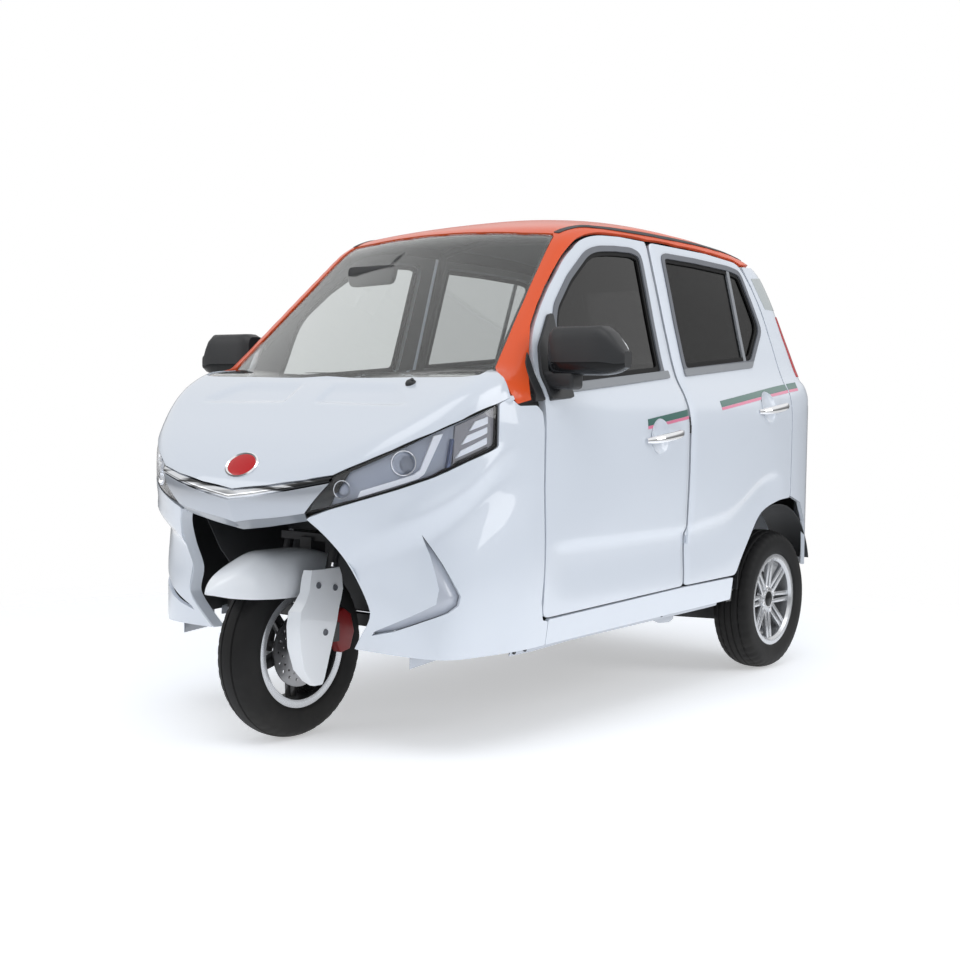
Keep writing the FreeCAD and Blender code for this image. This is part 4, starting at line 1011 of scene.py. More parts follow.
sail = panel("mirror_sail_left", "door_front_left", rounded(SAIL, .008, 2), side_view, (.02, .02),
             black_plastic, sunk(-.010), (), .018, bevel=.003)
pair(sail, "door_front_left")
PILLAR_FOOT = [(-.652, .976), (-.612, .980), (-.612, 1.085), (-.618, 1.115), (-.640, 1.085), (-.650, 1.03)]
foot_trim = panel("pillar_foot_trim_left", "body", PILLAR_FOOT, side_view, (.02, .02), black_plastic,
                  sunk(-.003), (), .012, bevel=.002)
pair(foot_trim, "body")
arm = keep(block((.560, -.580, 1.010), (.690, -.520, 1.062), .012, 3), "mirror_arm_left", "door_front_left",
           black_plastic)
pair(arm, "door_front_left")

# %% [markdown]
# The front corner panel runs from the headlamp to the door and down to the bumper. It is seen round
# a corner, so it is laid by angle. Its opening towards the wheel is bare, and a boomerang-shaped hollow
# is sunk into the corner, deepest along its outer edge.

# %% Front corner panels
CORNER_PITCH = .0115


def corner_view(uv):
    """u is the way round the corner in metres, at 11.5 mm a degree."""
    return nose_turn(uv / np.array([CORNER_PITCH, 1]))


def round_corner(points):
    return [(u * CORNER_PITCH, v) for u, v in points]


LAMP = round_corner([(21.9, .672), (27.8, .770), (35.4, .810), (40.9, .839), (49.9, .886), (56.5, .919),
                     (66.5, .963), (66.4, .854), (64.7, .843), (58.6, .817), (53.2, .793), (50.4, .776),
                     (42.3, .743), (27.6, .687)])
CORNER = round_corner([(21.6, .655), (27.6, .682), (42.3, .738), (50.4, .771), (58.6, .812), (64.7, .838),
                       (67.2, .851), (67.4, .967), (71.3, .985), (74.5, .962), (81.5, .964), (83.6, .945),
                       (84.2, .900), (84.3, .763), (84.3, .627), (84.4, .489), (84.0, .407), (85.2, .356),
                       (87.7, .352), (87.7, .282), (67.3, .279), (56.1, .281), (48.1, .284), (40.2, .286),
                       (31.2, .288), (33.4, .328), (35.7, .372), (36.1, .405), (33.6, .469), (30.1, .546),
                       (25.7, .611)])
BOOMERANG = round_corner([(47.9, .618), (50.3, .581), (52.5, .543), (55.7, .478), (56.9, .452),
                          (56.4, .427), (54.1, .409), (48.0, .382), (41.8, .352), (36.4, .335),
                          (37.0, .347), (41.8, .375), (48.0, .411), (51.3, .432), (51.9, .472),
                          (51.0, .517), (49.9, .562)])


def near_line(p, line):
    """Distance in the corner's flat drawing from a line, for points on the body."""
    turn = np.degrees(np.arctan2(np.abs(p[:, 0]), NOSE_AXIS - p[:, 1]))
    flat = np.stack([turn * CORNER_PITCH, p[:, 2]], 1)
    edge = np.array(line)
    near = np.full(len(p), 9.0)
    for a, b in zip(edge, edge[1:]):
        t = np.clip(((flat - a) @ (b - a)) / ((b - a) @ (b - a)), 0, 1)
        near = np.minimum(near, np.linalg.norm(flat - a - t[:, None] * (b - a), axis=1))
    return near


# distance round the corner to height of the crease
CREASE = smooth_table([(.20, .545), (.36, .588), (.377, .602), (.489, .644), (.580, .689), (.683, .751),
                       (.787, .834), (.88, .89)])


def corner_gap(p):
    """The body with the crease that runs from the lamp's outer end down to the mouth."""
    turn = np.degrees(np.arctan2(np.abs(p[:, 0]), NOSE_AXIS - p[:, 1])) * CORNER_PITCH
    above = p[:, 2] - read_table(CREASE, turn)[0]
    ridge = np.clip(1 - np.abs(above) / .045, 0, 1) ** 1.3
    ridge = ridge * smooth_step(turn, .37, .50) * (1 - smooth_step(turn, .72, .84))
    recess = smooth_step(-above, 0, .09) * smooth_step(turn, .22, .40) * (1 - smooth_step(turn, .66, .92))
    return body_gap(p) - .006 * ridge + .030 * recess


def hollow_gap(p):
    """The corner's surface, sunk towards the outer edge of the boomerang."""
    return corner_gap(p) + .016 * (1 - smooth_step(near_line(p, BOOMERANG[:10]), 0, .036))


corner = panel("front_corner_left", "body", rounded(CORNER, .008, 3), corner_view, (.011, .011), white_paint,
               corner_gap, [BOOMERANG], .012, black_plastic, bevel=.0015)
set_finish(corner, "white_paint")
pair(corner, "body", "front_panel_left")
# the hollow's floor is the body's white paint darkened by a third: painted shade for the sunk boomerang
hollow_painted_shade = finish("shaded_white_paint", (0.50, 0.525, 0.585), 0.34, 0.05, 2400, 0.0, 0.10, clear_coat)
groove = panel("corner_hollow_left", "body", inset(BOOMERANG, -.0005), corner_view, (.008, .008),
               hollow_painted_shade, hollow_gap, (), .004, bevel=0)
pair(groove, "body")

# %% [markdown]
# Headlamps: a clear lens on the body's surface, and 20 mm behind it a moulded bowl with what shines.
# From the nose outwards come a black wedge, a small reflector, the round projector in its chrome ring,
# a light guide bent like an L, a dark divider and three slanted bars.

# %% Headlamps
bezel = finish("lamp_bezel", (0.36, 0.40, 0.49), 0.22, 0.08, fixed={"Coat Weight": 0.5})
lamp_white = finish("lamp_light_guide", (0.80, 0.83, 0.90), 0.25, 0.04,
                    fixed={"Emission Color": (0.9, 0.94, 1, 1), "Emission Strength": 0.12})
lamp_grey = finish("lamp_grey_section", (0.30, 0.30, 0.33), 0.26, 0.08)
lamp_blue = finish("lamp_blue_divider", (0.10, 0.13, 0.23), 0.2, 0.05)
reflector = finish("lamp_reflector", (0.82, 0.84, 0.88), 0.10, 0.05, fixed={"Metallic": 1.0})
lens_smoke = finish("lamp_lens_smoked", (0.94, 0.95, 0.97), 0.02, 0.02, fixed=clear(1.35))
LAMP_PIECES = [
    ("bowl", LAMP, bezel, .022, .004),
    ("wedge", [(21.9, .672), (27.8, .770), (31.8, .786), (27.3, .689)], gloss_black, .010, .010),
    ("outer", [(54.9, .805), (55.4, .906), (66.3, .957), (66.0, .858), (64.6, .848), (58.6, .822)],
     lamp_grey, .016, .006),
    ("guide", [(50.2, .880), (52.4, .886), (48.2, .779), (46.7, .766), (33.6, .715), (34.3, .733),
               (45.6, .777), (47.2, .790)], lamp_white, .010, .010),
    ("divider", [(54.5, .872), (55.0, .872), (54.1, .795), (53.3, .795)], lamp_blue, .006, .014),
    ("bar_high", [(59.0, .893), (60.6, .919), (64.2, .932), (64.2, .913)], lamp_white, .010, .008),
    ("bar_middle", [(57.0, .856), (58.5, .881), (64.1, .904), (64.1, .887)], lamp_white, .010, .008),
    ("bar_low", [(55.5, .820), (56.9, .841), (64.0, .876), (64.0, .858)], lamp_white, .010, .008),
    ("foot", [(55.0, .803), (55.8, .812), (64.3, .851), (64.0, .844), (58.6, .820)], black_plastic, .011,
     .006),
]
for label, outline, material, depth, thick in LAMP_PIECES:
    flat = outline if outline is LAMP else round_corner(outline)
    piece = panel(f"headlamp_{label}_left", "body", flat, corner_view, (.016, .016), material, sunk(depth),
                  (), thick, bevel=.0008)
    pair(piece, "body")
seal = panel("headlamp_seal_left", "body", inset(LAMP, -.0035), corner_view, (.03, .03), rubber,
             sunk(.0015), [inset(LAMP, .0005)], .022, bevel=0)
pair(seal, "body")
lens = panel("headlamp_lens_left", "body", LAMP, corner_view, (.016, .016), lens_smoke, sunk(.002), (),
             .003, bevel=0)
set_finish(lens, "lamp_clear")
pair(lens, "body")
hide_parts("headlamps")
for label, (turn, height), radius, depth in (("projector", (43.8, .806), .0335, .024),
                                             ("reflector", (30.6, .735), .024, .020)):
    spot = Vector(lay(round_corner([(turn, height)]), corner_view, sunk(depth))[0])
    way = Vector((.50, -.85, .12)) if label == "projector" else Vector((.30, -.95, .10))
    bowl = ((-.010, .55), (.000, .80), (.014, 1), (.0155, 1), (.0155, .93), (.001, .72), (-.009, .50))
    cup = lathe([(a, radius * share) for a, share in bowl], spot, way, 40)
    cup = shade(keep(cup, f"headlamp_{label}_cup_left", "body", reflector))
    pair(cup, "body")
    ball = ((-.012, 0), (-.012, .66), (-.002, .66), (.004, .52), (.0075, .28), (.0085, 0))
    bulb = lathe([(a, radius * share) for a, share in ball], spot, way, 32, False)
    bulb = keep(bulb, f"headlamp_{label}_glass_left", "body", bezel if label == "reflector" else lens_smoke)
    pair(bulb, "body")

# %% [markdown]
# Bonnet: laid from above, between the windscreen, the lamps and the nose band. Two shallow pressings
# near the windscreen catch the light.

# %% Bonnet
nose_edge = round_corner([(0, .724), (10.6, .7385), (20.5, .7565), (28.1, .7735)])
lamp_edge = round_corner([(35.4, .813), (40.9, .842), (49.9, .889), (56.5, .922), (66.4, .966), (71.0, .986)])
pillar_edge = [(.598, -.754, .992), (.594, -.757, 1.008), (.585, -.760, 1.028)]
cowl = [(.565, -.764, 1.049), (.523, -.721, 1.064), (.510, -.726, 1.062), (.545, -.795, 1.052),
        (.543, -.821, 1.043), (.505, -.833, 1.039), (.30, -.836, 1.037), (0, -.836, 1.037)]
half_bonnet = to_hood(list(lay(nose_edge + lamp_edge, corner_view)) + pillar_edge + cowl)
BONNET = both_halves(half_bonnet)
eases = [0, .02, .02, .006] + [.02] * 5 + [.004] + [.01] * 3 + [.012, .006, .004, .012, .012, .02, .02, 0]
BONNET = rounded(BONNET, eases + eases[-2:0:-1], 3)


def bonnet_gap(p):
    """The body with the two pressings in front of the windscreen."""
    x, y = np.abs(p[:, 0]), p[:, 1]
    press = smooth_step(y, -.957, -.948) * (1 - smooth_step(y, -.90, -.86))
    press = press * smooth_step(x, .055, .075) * (1 - smooth_step(x + (y + .95) * 1.2, .36, .42))
    return body_gap(p) + .0075 * press


bonnet = panel("bonnet_skin", "body", BONNET, hood_view, (.018, .018), white_paint, bonnet_gap, (), .010,
               bevel=.0015)
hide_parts("bonnet")
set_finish(bonnet, "white_paint")

# %% [markdown]
# Nose: under the bonnet's edge lies a chrome crescent, thickest in the middle. Below it a silver band
# comes to a keel on the centre line, and folds under to a darker lip. The strips are skins between edge
# lines on the body, pushed out to the keel; the band stands for the CAD nose.

# %% Nose band and chrome crescent
def nose_rows(high, low, count, push, steps=44):
    """Rows from one edge line to the other, mirrored over the centre; push moves a point outwards."""
    rows = []
    spans = [smooth_table(line) for line in (high, low)]
    for r in range(count + 1):
        share = r / count
        half = []
        for k in range(steps + 1):
            t = k / steps
            ends = [(curve[0][-1] * t, float(read_table(curve, curve[0][-1] * t)[0])) for curve in spans]
            half.append(tuple(a * (1 - share) + b * share for a, b in zip(*ends)))
        points = lay(round_corner(half), corner_view)
        points[:, 1] -= [push(x, share) for x in points[:, 0]]
        rows.append(np.concatenate([points[::-1] * (-1, 1, 1), points[1:]]))
    return rows


def keel(x):
    """How far the nose is pushed out to its keel."""
    return .016 * max(0, 1 - abs(x) / .26) ** 1.15


CRESCENT_HIGH = [(0, .7225), (10.6, .737), (20.5, .755), (28.2, .7725)]
CRESCENT_LOW = [(0, .694), (7.2, .705), (17.0, .726), (27.5, .752)]
BAND_LOW = [(0, .631), (4.2, .639), (13.9, .653), (21.3, .668)]
LIP_LOW = [(0, .609), (8.3, .621), (14.0, .632), (20.9, .646)]
crescent = skin(nose_rows(CRESCENT_HIGH, CRESCENT_LOW, 6, lambda x, t: keel(x) * t - .004
                          + .010 * math.sin(math.pi * t)))
# the crescent's colour is banded dark and light up its height: painted reflections of the surroundings
chrome_painted_reflections = finish("chrome_with_painted_reflections", (0.6, 0.6, 0.6), 0.09, 0.04, 1200, fixed={"Metallic": 1.0})
reflection_tree = chrome_painted_reflections.node_tree
drawn = add(reflection_tree, "ShaderNodeMapping", {"Scale": (5, 5, 62), "Vector": object_place(reflection_tree)})
painted_reflection_bands = add(reflection_tree, "ShaderNodeTexNoise", {"Scale": 1.0, "Detail": 1.5,
                                                  "Vector": drawn.outputs["Vector"]})
reflection_tones = add(reflection_tree, "ShaderNodeValToRGB", {"Fac": painted_reflection_bands.outputs["Fac"]})
for stop, spot, tone in zip(reflection_tones.color_ramp.elements, (.44, .56), (.03, .72)):
    stop.position, stop.color = spot, (tone, tone * 1.02, tone * 1.06, 1)
driven(chrome_painted_reflections, "Base Color", reflection_tones.outputs["Color"])
crescent = wall(keep(crescent, "nose_crescent", "body", chrome_painted_reflections), .004, .0008)
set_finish(crescent, "chrome_trim")
band = skin(nose_rows(CRESCENT_LOW, BAND_LOW, 6, lambda x, t: keel(x) + .002))
band = wall(keep(band, "nose_band_face", "body", silver_paint), .006, .001)
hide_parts("nose_band")
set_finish(band, "silver_paint")
under_paint = finish("nose_lip_paint", (0.23, 0.25, 0.28), 0.32, 0.06, 2600, fixed=clear_coat)
lip = skin(nose_rows(BAND_LOW, LIP_LOW, 4, lambda x, t: keel(x) * (1 - .5 * t) + .001 - .012 * t))
lip = wall(keep(lip, "nose_lip", "body", under_paint), .006, .001)
print("nose strips", len(band.data.polygons) + len(lip.data.polygons), "cells")

# %% Blank badge on the bonnet
enamel = {"Specular IOR Level": 0.25, "Coat Weight": 0.15}
badge_red = finish("badge_red_enamel", (0.58, 0.006, 0.010), 0.24, 0.04, fixed=enamel)
badge_at = Vector(lay([(0, .787)], corner_view)[0])
badge_way = Vector((0, -.80, .60))
BADGE_OVAL = (1, 1.26, .86)  # how the round rim and face are stretched
badge_rim = [(-.004, .040), (.004, .0405), (.0065, .0445), (.004, .0485), (-.004, .049)]
badge_dome = [(-.003, .042), (.0035, .0415), (.0055, .030), (.0065, .015), (.0068, 0), (-.003, 0)]
for label, profile, material, closed in (("ring", badge_rim, chrome, True),
                                         ("face", badge_dome, badge_red, False)):
    turned = lathe(profile, steps=56, closed=closed)
    bmesh.ops.scale(turned, vec=BADGE_OVAL, verts=turned.verts[:])
    shade(keep(place(turned, badge_at, badge_way), f"badge_{label}", "body", material))
print("badge at", [round(v, 3) for v in badge_at])

# %% [markdown]
# The mouth: the corner panels fold back round the wheel opening, and a black tub closes it towards the
# cab. The tub is one sheet bent over the wheel, clear of the tyre at full lock.

# %% Mouth returns and wheel tub
MOUTH = round_corner([(21.6, .655), (25.7, .611), (30.1, .546), (33.6, .469), (36.1, .405), (35.7, .372),
                      (33.4, .328), (31.2, .288)])
mouth_line = np.array(smooth_path(lay(MOUTH, corner_view, corner_gap), 5))
inward = np.array([-.010, .034, 0])
returned = skin([mouth_line + inward * t + np.array([0, .002, 0]) for t in (0, .12, .4, .7, 1.0)])
mouth = wall(keep(returned, "mouth_return_left", "body", white_paint), .004, .0008)
pair(mouth, "body")
tub_line = smooth_path([(0, -1.150, .655), (0, -1.05, .690), (0, -.92, .700), (0, -.80, .672),
                        (0, -.715, .60), (0, -.690, .48), (0, -.683, .335)], 4)
tub = skin([[(x, p.y, p.z) for p in tub_line] for x in (-.285, -.28, -.15, 0, .15, .28, .285)])
wall(keep(tub, "wheel_tub", "body", black_plastic), .004, 0)
CHEEK = [(-1.06, .640), (-1.0, .675), (-.80, .655), (-.70, .58), (-.688, .34), (-.80, .33), (-.90, .42),
         (-.99, .52)]
for side in (-1, 1):
    cheek = plate(CHEEK, .284, .288)
    if side < 0:
        bmesh.ops.scale(cheek, vec=(-1, 1, 1), verts=cheek.verts[:])
        bmesh.ops.reverse_faces(cheek, faces=cheek.faces[:])
    keep(cheek, f"wheel_tub_side_{'left' if side > 0 else 'right'}", "body", black_plastic)

# %% [markdown]
# Front wheel: a black five-spoked alloy rim with a machined lip, a drilled brake disc and a smooth
# round-shouldered tyre. The tyre's outline is turned, and its grooves are part of that outline; every
# fourth ring of the turning is drawn in at the shoulders, which makes the cross cuts.

# %% Tyres
FRONT_HUB = Vector((0, -.978, .256))
REAR_HUB = Vector((.516, .970, .256))


def tyre(width, hub, grooves, cut, crown=.256, rings=176):
    """grooves lie at shares of the half width; cut is where the cross cuts begin, and how deep they are."""
    half = width / 2
    flat = half * .80
    tread = []
    count = 28
    for k in range(count + 1):
        x = (k / count * 2 - 1) * flat
        r = crown - .013 * abs(x / flat) ** 2.6
        dent = .005 if any(abs(x - g * half) < flat / count * 1.1 for g in grooves) else 0
        tread.append((x, r - dent))
    wall_side = [(half * .90, .2375), (half * .97, .228), (half, .212), (half * .985, .196),
                 (half * .93, .181), (half * .90, .1725), (half * .86, .1705), (half * .84, .168),
                 (half * .62, .168)]
    profile = [(-x, r) for x, r in reversed(wall_side)] + tread + wall_side
    bm = lathe(profile, steps=rings)
    for vert in bm.verts:
        radius = math.hypot(vert.co.y, vert.co.z)
        index = round(math.atan2(vert.co.y, vert.co.z) / math.tau * rings) % rings
        share = abs(vert.co.x) / half
        if index % 4 == 0 and radius > .232 and cut[0] < share < .93:
            shrink = 1 - cut[1] / radius
            vert.co.y *= shrink
            vert.co.z *= shrink
    bmesh.ops.translate(bm, vec=hub, verts=bm.verts[:])
    return bm


front_tyre = shade(keep(tyre(.112, FRONT_HUB, (-.34, .34), (.50, .0016)), "front_tyre_tread", "front_wheel",
                        rubber), 50)
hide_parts("front_tyre")
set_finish(front_tyre, "tyre_rubber")
rear_tyre = shade(keep(tyre(.142, REAR_HUB, (-.52, -.18, .18, .52), (.40, .0035)), "rear_tyre_tread_left",
                       "rear_wheel_left", rubber), 50)
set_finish(rear_tyre, "tyre_rubber")
pair(rear_tyre, "rear_wheel_left", "rear_tyre_left")
print("tyre", len(rear_tyre.data.polygons), "faces")


# %% Rims
def spoke(inner, outer, narrow, broad, low, high, turn, bow=0.0, aside=0.0):
    """A tapered bar from the hub to the rim, turned to its place."""
    outline = [(aside - narrow / 2, inner), (aside - broad / 2, outer), (aside + broad / 2, outer),
               (aside + narrow / 2, inner)]
    bm = plate(outline, low, high, bevel=.0022)
    for vert in bm.verts:
        vert.co.x += bow * (vert.co.z - inner) / (outer - inner)
    bmesh.ops.rotate(bm, cent=(0, 0, 0), matrix=Matrix.Rotation(turn, 3, "X"), verts=bm.verts[:])
    return bm


def barrel(half, lip):
    """The rim's barrel with a lip at both ends."""
    return lathe([(-half, .145), (-half, .1705), (-half + lip, .1705), (-half + lip * 1.6, .158),
                  (half - lip * 1.6, .158), (half - lip, .1705), (half, .1705), (half, .145),
                  (half - .012, .140), (-half + .012, .140)], steps=96)


alloy_black = finish("black_alloy", (0.018, 0.018, 0.020), 0.28, 0.10, 900, 0.0, 0.12,
                     {"Metallic": 0.3, "Coat Weight": 0.6})
alloy_silver = finish("silver_alloy", (0.63, 0.64, 0.66), 0.24, 0.10, 900, 0.0, 0.06,
                      {"Metallic": 0.75, "Coat Weight": 0.5})
parts = [barrel(.045, .006), lathe([(-.034, .012), (-.034, .040), (-.020, .046), (.020, .046), (.026, .040),
                                    (.026, .012)], steps=48)]
parts += [spoke(.036, .147, .038, .024, -.012, .012, math.tau * (k + .5) / 5) for k in range(5)]
front_rim = joined(parts)
bmesh.ops.translate(front_rim, vec=FRONT_HUB, verts=front_rim.verts[:])
front_rim = shade(keep(front_rim, "front_rim_alloy", "front_wheel", alloy_black))
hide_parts("front_rim")
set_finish(front_rim, "black_alloy")
LIP = [(.0452, .1455), (.0462, .152), (.0470, .1640), (.0466, .1712), (.0440, .1712), (.0440, .1455)]
lips = joined([lathe([(side * a, r) for a, r in LIP], FRONT_HUB, steps=96) for side in (-1, 1)])
shade(keep(lips, "front_rim_lips", "front_wheel", alloy_silver))
DRILLS = 18
drills = []
for reach, radius, step in ((.088, .0048, 0), (.072, .0040, .5)):
    for t in [math.tau * (k + step) / DRILLS for k in range(DRILLS)]:
        drills.append(ring((reach * math.cos(t), reach * math.sin(t)), radius, 8))
disc = plate(ring((0, 0), .108, 72), .034, .038, holes=[ring((0, 0), .056, 40)] + drills, bevel=0,
             centre=FRONT_HUB)
disc = joined([disc, lathe([(.030, .013), (.030, .060), (.036, .060), (.036, .013)], FRONT_HUB, steps=40)])
disc_steel = finish("brake_disc_steel", (0.36, 0.36, 0.37), 0.30, 0.15, 700, 0.00003, 0.1, {"Metallic": 1.0})
shade(keep(disc, "front_brake_disc", "front_wheel", disc_steel))

parts = [lathe([(-.057, .145), (-.057, .1705), (-.051, .1705), (-.046, .158), (.046, .158), (.051, .1705),
                (.0585, .1715), (.0605, .166), (.0590, .152), (.050, .143), (-.045, .140)], steps=96),
         lathe([(.000, .012), (.000, .050), (.020, .058), (.034, .052), (.036, .030), (.036, .012)],
               steps=48)]
SPOKE_PAIRS = 8
for k in range(SPOKE_PAIRS):
    for side in (-1, 1):
        turn = math.tau * k / SPOKE_PAIRS + math.radians(1.6) * side
        parts.append(spoke(.040, .150, .0135, .0175, .020, .036, turn, .012, .0150 * side))
rear_rim = joined(parts)
bmesh.ops.translate(rear_rim, vec=REAR_HUB, verts=rear_rim.verts[:])
rear_rim = shade(keep(rear_rim, "rear_rim_alloy_left", "rear_wheel_left", alloy_silver))
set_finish(rear_rim, "silver_alloy")
pair(rear_rim, "rear_wheel_left", "rear_rim_left")
cap = lathe([(.034, .028), (.040, .0275), (.0425, .022), (.0435, 0), (.034, 0)], REAR_HUB, steps=40,
            closed=False)
cap = shade(keep(cap, "rear_wheel_cap_left", "rear_wheel_left", gloss_black))
pair(cap, "rear_wheel_left")
NUT = [(.034, .0), (.034, .0085), (.041, .0085), (.043, .006), (.043, 0)]
nuts = []
for t in [math.radians(20 + 90 * k) for k in range(4)]:
    nuts.append(lathe(NUT, REAR_HUB + Vector((0, .044 * math.cos(t), .044 * math.sin(t))), steps=6,
                      closed=False))
nuts.append(lathe([(.034, .0285), (.0395, .0285), (.0395, .032), (.034, .0325)], REAR_HUB, steps=40))
nuts = shade(keep(joined(nuts), "rear_wheel_nuts_left", "rear_wheel_left", chrome))
pair(nuts, "rear_wheel_left")
drum = lathe([(-.045, .012), (-.045, .100), (-.010, .104), (.006, .098), (.006, .012)], REAR_HUB, steps=56)
drum = shade(keep(drum, "rear_brake_drum_left", "rear_wheel_left", frame_black))
pair(drum, "rear_wheel_left")
print("rear rim", len(rear_rim.data.polygons), "faces")

# %% [markdown]
# Mudguard and fork covers turn with the fork. The guard is a helmet-like shell with a beak: its
# cross-sections widen from the tip and drop at the sides. Each cover is a folded plate over one leg.

# %% Front mudguard
GUARD_TOP = smooth_table([(-1.308, .448), (-1.27, .482), (-1.20, .516), (-1.10, .5455), (-1.0, .5465),
                          (-.92, .540), (-.850, .522)])
GUARD_HALF = smooth_table([(-1.308, .003), (-1.29, .022), (-1.25, .046), (-1.18, .066), (-1.08, .0735),
                           (-.95, .0735), (-.850, .062)])
GUARD_LOW = smooth_table([(-1.308, .441), (-1.25, .428), (-1.15, .418), (-1.05, .414), (-.95, .416),
                          (-.850, .440)])
rows = []
for k in range(37):
    y = -1.308 + .458 * (k / 36) ** 1.15
    top, half, low = (float(read_table(c, y)[0]) for c in (GUARD_TOP, GUARD_HALF, GUARD_LOW))
    row = []
    for a in range(25):
        t = math.pi * a / 24
        row.append((half * puffed(math.cos(t), .62), y, low + (top - low) * math.sin(t) ** .72))
    rows.append(row)
guard = wall(keep(skin(rows), "front_mudguard_shell", "steering", guard_white_painted_light), .0035, .001)
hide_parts("front_mudguard")
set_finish(guard, "white_paint")

# %% Brake caliper and fork tubes
caliper_red = finish("caliper_red", (0.24, 0.005, 0.007), 0.38, 0.08, 1400, 0.00002, 0.2)
red_part = plate([(-.872, .352), (-.842, .366), (-.808, .344), (-.793, .290), (-.810, .240), (-.850, .232),
                  (-.874, .28)], .044, .078, bevel=.005)
keep(red_part, "brake_caliper_shell", "steering", caliper_red)
tubes = []
for side in (-1, 1):
    low, high = Vector((side * .094, -.9200, .450)), Vector((side * .094, -.8800, .585))
    tubes.append(tube([low, low.lerp(high, .5), high], .0155, 20))
    tubes.append(tube([low.lerp(high, .30), low.lerp(high, .38)], .0185, 20))
shade(keep(joined(tubes), "fork_tubes", "steering", chrome))

# %% Fork covers
COVER = [  # height, front edge, fold, rear edge, how far in the front edge turns
    (.493, -1.034, -1.020, -.902, .100),
    (.470, -1.040, -1.026, -.893, .098),
    (.430, -1.046, -1.034, -.889, .097),
    (.400, -1.066, -1.050, -.897, .094),
    (.380, -1.084, -1.066, -.905, .091),
    (.340, -1.090, -1.072, -.914, .090),
    (.280, -1.086, -1.066, -.932, .090),
    (.215, -1.066, -1.050, -.950, .094),
    (.180, -1.036, -1.024, -.960, .100),
    (.163, -1.010, -1.004, -.968, .106),
]


def cover_bulge(z):
    """How far the cover stands out at a height."""
    return .004 * math.sin(math.pi * min(1, max(0, (z - .163) / .33)))


cover_rows = []
for z, front, fold, rear_edge, turned in COVER:
    bulge = cover_bulge(z)
    middle = fold * .5 + rear_edge * .5
    cover_rows.append([(turned, front, z), ((turned + .121) / 2, (front + fold) / 2 - .001, z),
                       (.1205 + bulge, fold, z), (.1215 + bulge, middle, z),
                       (.1195 + bulge, rear_edge - .004, z), (.112, rear_edge, z)])
cover = wall(shade(keep(skin(cover_rows), "fork_cover_left", "steering", guard_white_painted_light), 25), .0035, .0012)
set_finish(cover, "white_paint")
pair(cover, "steering")
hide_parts("fork_covers")
EYELET = [(.1212, 0), (.1212, .0068), (.1232, .0078), (.1236, .0088), (.1212, .0096)]
eyelets = []
for y, z in ((-.996, .448), (-.928, .436), (-.968, .312)):
    profile = [(a + cover_bulge(z), r) for a, r in EYELET] + [(.117, .0096)]
    eyelets.append(lathe(profile, (0, y, z), steps=20, closed=False))
eyelets = shade(keep(joined(eyelets), "fork_cover_eyelets_left", "steering", trim_grey))
pair(eyelets, "steering")
print("fork covers done")

# %% [markdown]
# Roof: one orange shell from the windscreen pillars' feet to the small lip over the tailgate. It is
# laid as a dome, because it turns from nearly upright pillars to a flat top.

# %% Roof shell and the seals behind its edges
door_top = [(-.613, .985), (-.611, 1.010), (-.604, 1.090), (-.588, 1.152), (-.562, 1.193), (-.505, 1.254),
            (-.438, 1.320), (-.325, 1.418), (-.226, 1.478), (-.168, 1.496), (-.098, 1.509), (.03, 1.516),
            (.21, 1.515), (.42, 1.515), (.60, 1.513), (.74, 1.506), (.815, 1.500), (.862, 1.487),
            (.905, 1.490), (.945, 1.493)]
screen_side = [(.521, 1.068), (.50, 1.15), (.472, 1.26), (.444, 1.375), (.418, 1.478), (.405, 1.490)]
screen_top = [(.30, 1.497), (.15, 1.506), (0, 1.509)]


def cab_only(p):
    return cab_gap(np.abs(p[:, 0]), p[:, 1], p[:, 2])


edge_points = list(lay(screen_top[::-1] + screen_side[::-1], front_view, cab_only))
foot_points = [(.545, -.741, 1.058), (.568, -.761, 1.051), (.580, -.762, 1.040), (.587, -.757, 1.029),
               (.593, -.749, 1.011), (.602, -.748, .995), (.601, -.728, .977), (.602, -.721, .969),
               (.603, -.715, .967)]
foot_points += [(.605, -.658, .978), (.603, -.663, 1.007), (.593, -.652, 1.026), (.573, -.630, 1.067),
                (.563, -.614, 1.099), (.555, -.601, 1.124)]
side_points = list(lay(door_top[3:], side_view))
lip_points = [(.36, .988, 1.505), (.22, .994, 1.509), (0, .996, 1.512)]
half_roof = to_dome(edge_points + foot_points + side_points + lip_points)
ROOF_OUTLINE = both_halves(half_roof)
roof = panel("roof_skin", "body", ROOF_OUTLINE, dome_view, (.022, .022), orange_paint, body_gap, (), .012,
             headlining, bevel=.0015)
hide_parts("roof_shell")
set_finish(roof, "orange_paint")


def upright_strip(line, inward, low, high, name):
    """A rubber strip behind a slot: the line on the body, moved in, between two heights."""
    bm = skin([np.array(line) + inward + (0, 0, rise) for rise in (low, 0, high)])
    outward = -Vector(inward)
    if sum(f.normal.dot(outward) for f in bm.faces) < 0:
        bmesh.ops.reverse_faces(bm, faces=bm.faces[:])
    return wall(keep(bm, name, "body", rubber), .004, 0)


seal_line = smooth_path(side_points, 3)
pair(upright_strip(seal_line, (-.034, 0, 0), -.028, .012, "roof_edge_seal_left"), "body")
gate_top = lay([(x * .38 / 8, 1.488) for x in range(-8, 9)], rear_view)
upright_strip(gate_top, (0, -.036, 0), -.024, .016, "gate_edge_seal")

# %% [markdown]
# The windscreen is one pane let into the roof's edge and the bonnet's. A black band is printed round it
# from behind, and a washer nozzle stands on the bonnet in front of it.

